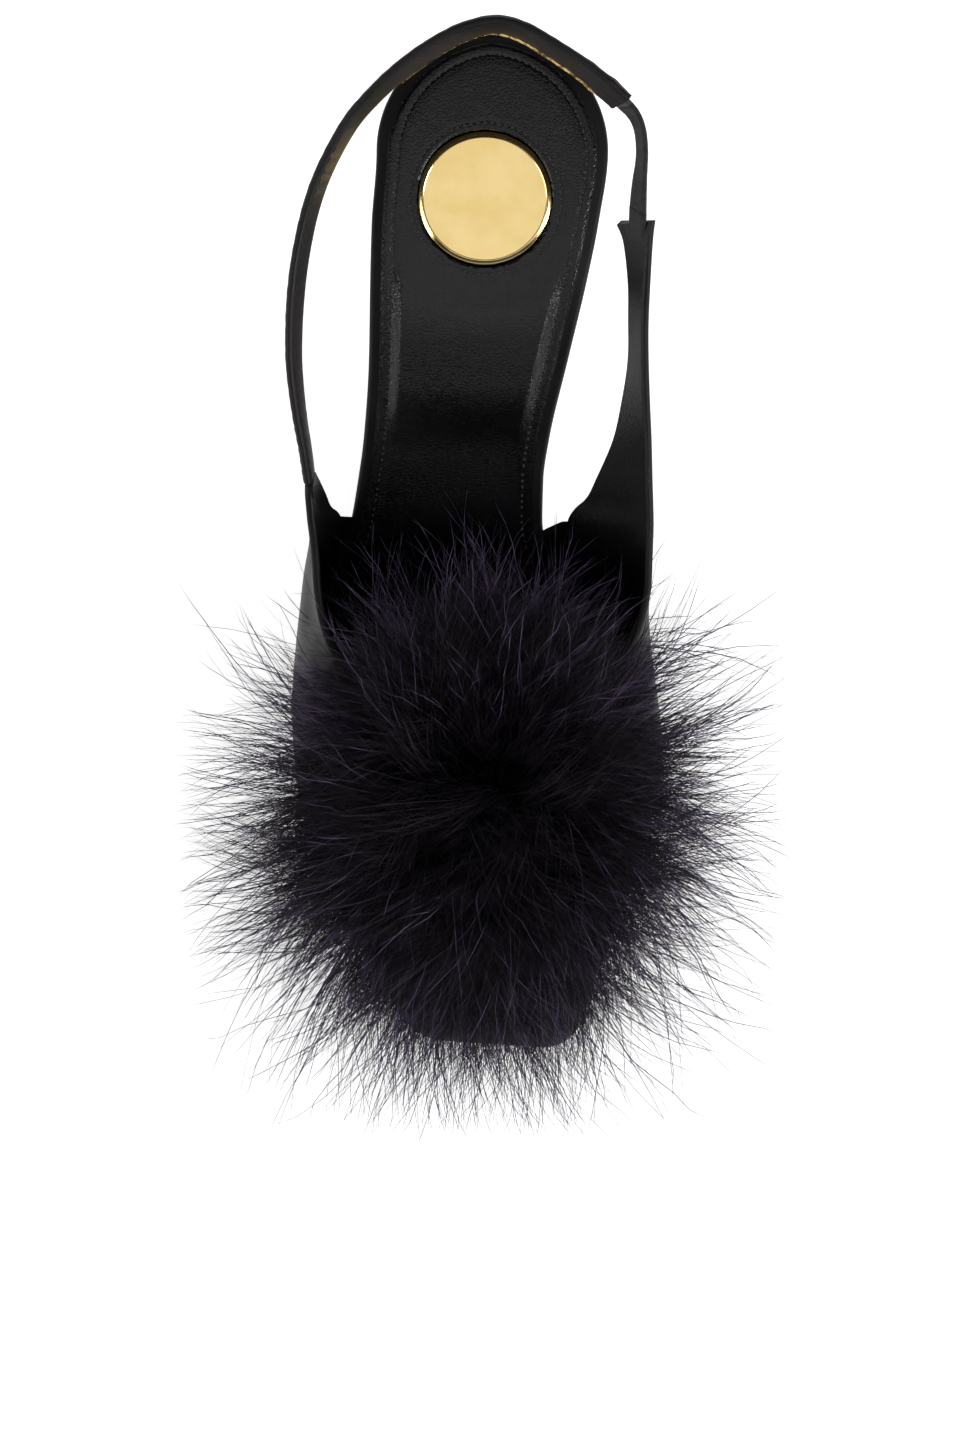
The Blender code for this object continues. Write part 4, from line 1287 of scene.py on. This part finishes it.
def build_lights():
    world = bpy.data.worlds.new("studio")
    bpy.context.scene.world = world
    world.use_nodes = True
    background = world.node_tree.nodes["Background"]
    background.inputs["Color"].default_value = (1.0, 1.0, 1.0, 1.0)
    sky = world.node_tree.nodes.new("ShaderNodeTexCoord")
    parts = world.node_tree.nodes.new("ShaderNodeSeparateXYZ")
    fade = world.node_tree.nodes.new("ShaderNodeMapRange")
    fade.interpolation_type = "SMOOTHSTEP"
    fade.inputs["From Min"].default_value = 0.10
    fade.inputs["From Max"].default_value = 0.50
    fade.inputs["To Min"].default_value = 1.0
    fade.inputs["To Max"].default_value = 0.02
    link(world.node_tree, sky, "Generated", parts, "Vector")
    link(world.node_tree, parts, "Z", fade, "Value")
    link(world.node_tree, fade, "Result", background, "Strength")
    area_light("toe_side", (0.10, -0.64, 1.55), (0, 0.12, 0.07), (1.5, 1.35), 6.1)
    area_light("left", (-1.35, -0.9, 1.05), (0, 0.03, 0.04), (0.7, 1.0), 10)
    area_light("right", (1.35, -0.9, 1.05), (0, 0.03, 0.04), (0.5, 0.9), 21)
    area_light("back", (0.0, 1.6, 0.85), (0, 0, 0.03), (1.2, 0.6), 14)


def build_camera():
    data = bpy.data.cameras.new("camera")
    data.lens = lens
    data.sensor_width = 36
    data.clip_start = 0.05
    data.clip_end = 20
    made = bpy.data.objects.new("camera", data)
    made.location = (0, camera_y, camera_height)
    bpy.context.scene.collection.objects.link(made)
    bpy.context.scene.camera = made


def main():
    satin = satin_material("black_satin", (0.0046, 0.0038, 0.0040), (0.0100, 0.0080, 0.0080), 0.18, 0.10)
    rim_satin = satin_material("rim_satin", (0.0040, 0.0034, 0.0036), (0.0085, 0.0068, 0.0070), 0.14, 0.06)
    leather = leather_material("sock_leather", (0.0009, 0.0009, 0.0012), (0.0022, 0.0021, 0.0026), 0.21, 0.36, 0.70)
    lining = leather_material("lining_leather", (0.0022, 0.0020, 0.0022), (0.0048, 0.0044, 0.0047), 0.36, 0.26, 1.0)
    sole_leather = leather_material("sole_leather", (0.040, 0.031, 0.026), (0.060, 0.047, 0.040), 0.42, 0.40, 0.6)
    thread = thread_material("sewing_thread", (0.0012, 0.0011, 0.0012), (0.0060, 0.0055, 0.0058))
    down = down_material("marabou_down", (0.0022, 0.0014, 0.0026), (0.0150, 0.0102, 0.0172), 0.16)
    # A lighter copy of the down's colour for the fringe and long strands: painted light for thin outer strands that
    # are lit and seen against the floor.
    lit_wisp_finish = down_material("marabou_strands_painted_lit", (0.0130, 0.0090, 0.0180), (0.095, 0.068, 0.135), 0.16)
    # A darker copy of the down's colour for the mound under the strands: painted shade inside the pompom.
    shade_core_finish = down_material("down_core_painted_shade", (0.0010, 0.0008, 0.0011), (0.0024, 0.0020, 0.0028), 0.15)

    build_outsole(sole_leather)
    build_board(rim_satin)
    build_heel(satin)
    build_top_piece(rubber_material())
    build_sock(leather)
    build_disc(gold_material())
    build_sock_stitches(thread)
    upper_satin = satin_material("upper_satin", (0.0042, 0.0035, 0.0037), (0.0092, 0.0074, 0.0074), 0.12, 0.05)
    upper, grid = build_upper(upper_satin, lining)
    build_lasting(satin, grid)
    strap, frames = build_strap(satin)
    build_elastic(elastic_material())
    build_foil(foil_material(), frames)
    build_edge_stitches(thread, frames)
    tree = vamp_tree(upper)
    build_core(tree, shade_core_finish)
    build_down(tree, down, lit_wisp_finish)
    build_stage()
    build_lights()
    build_camera()
    bpy.context.scene.view_settings.view_transform = "Standard"


main()
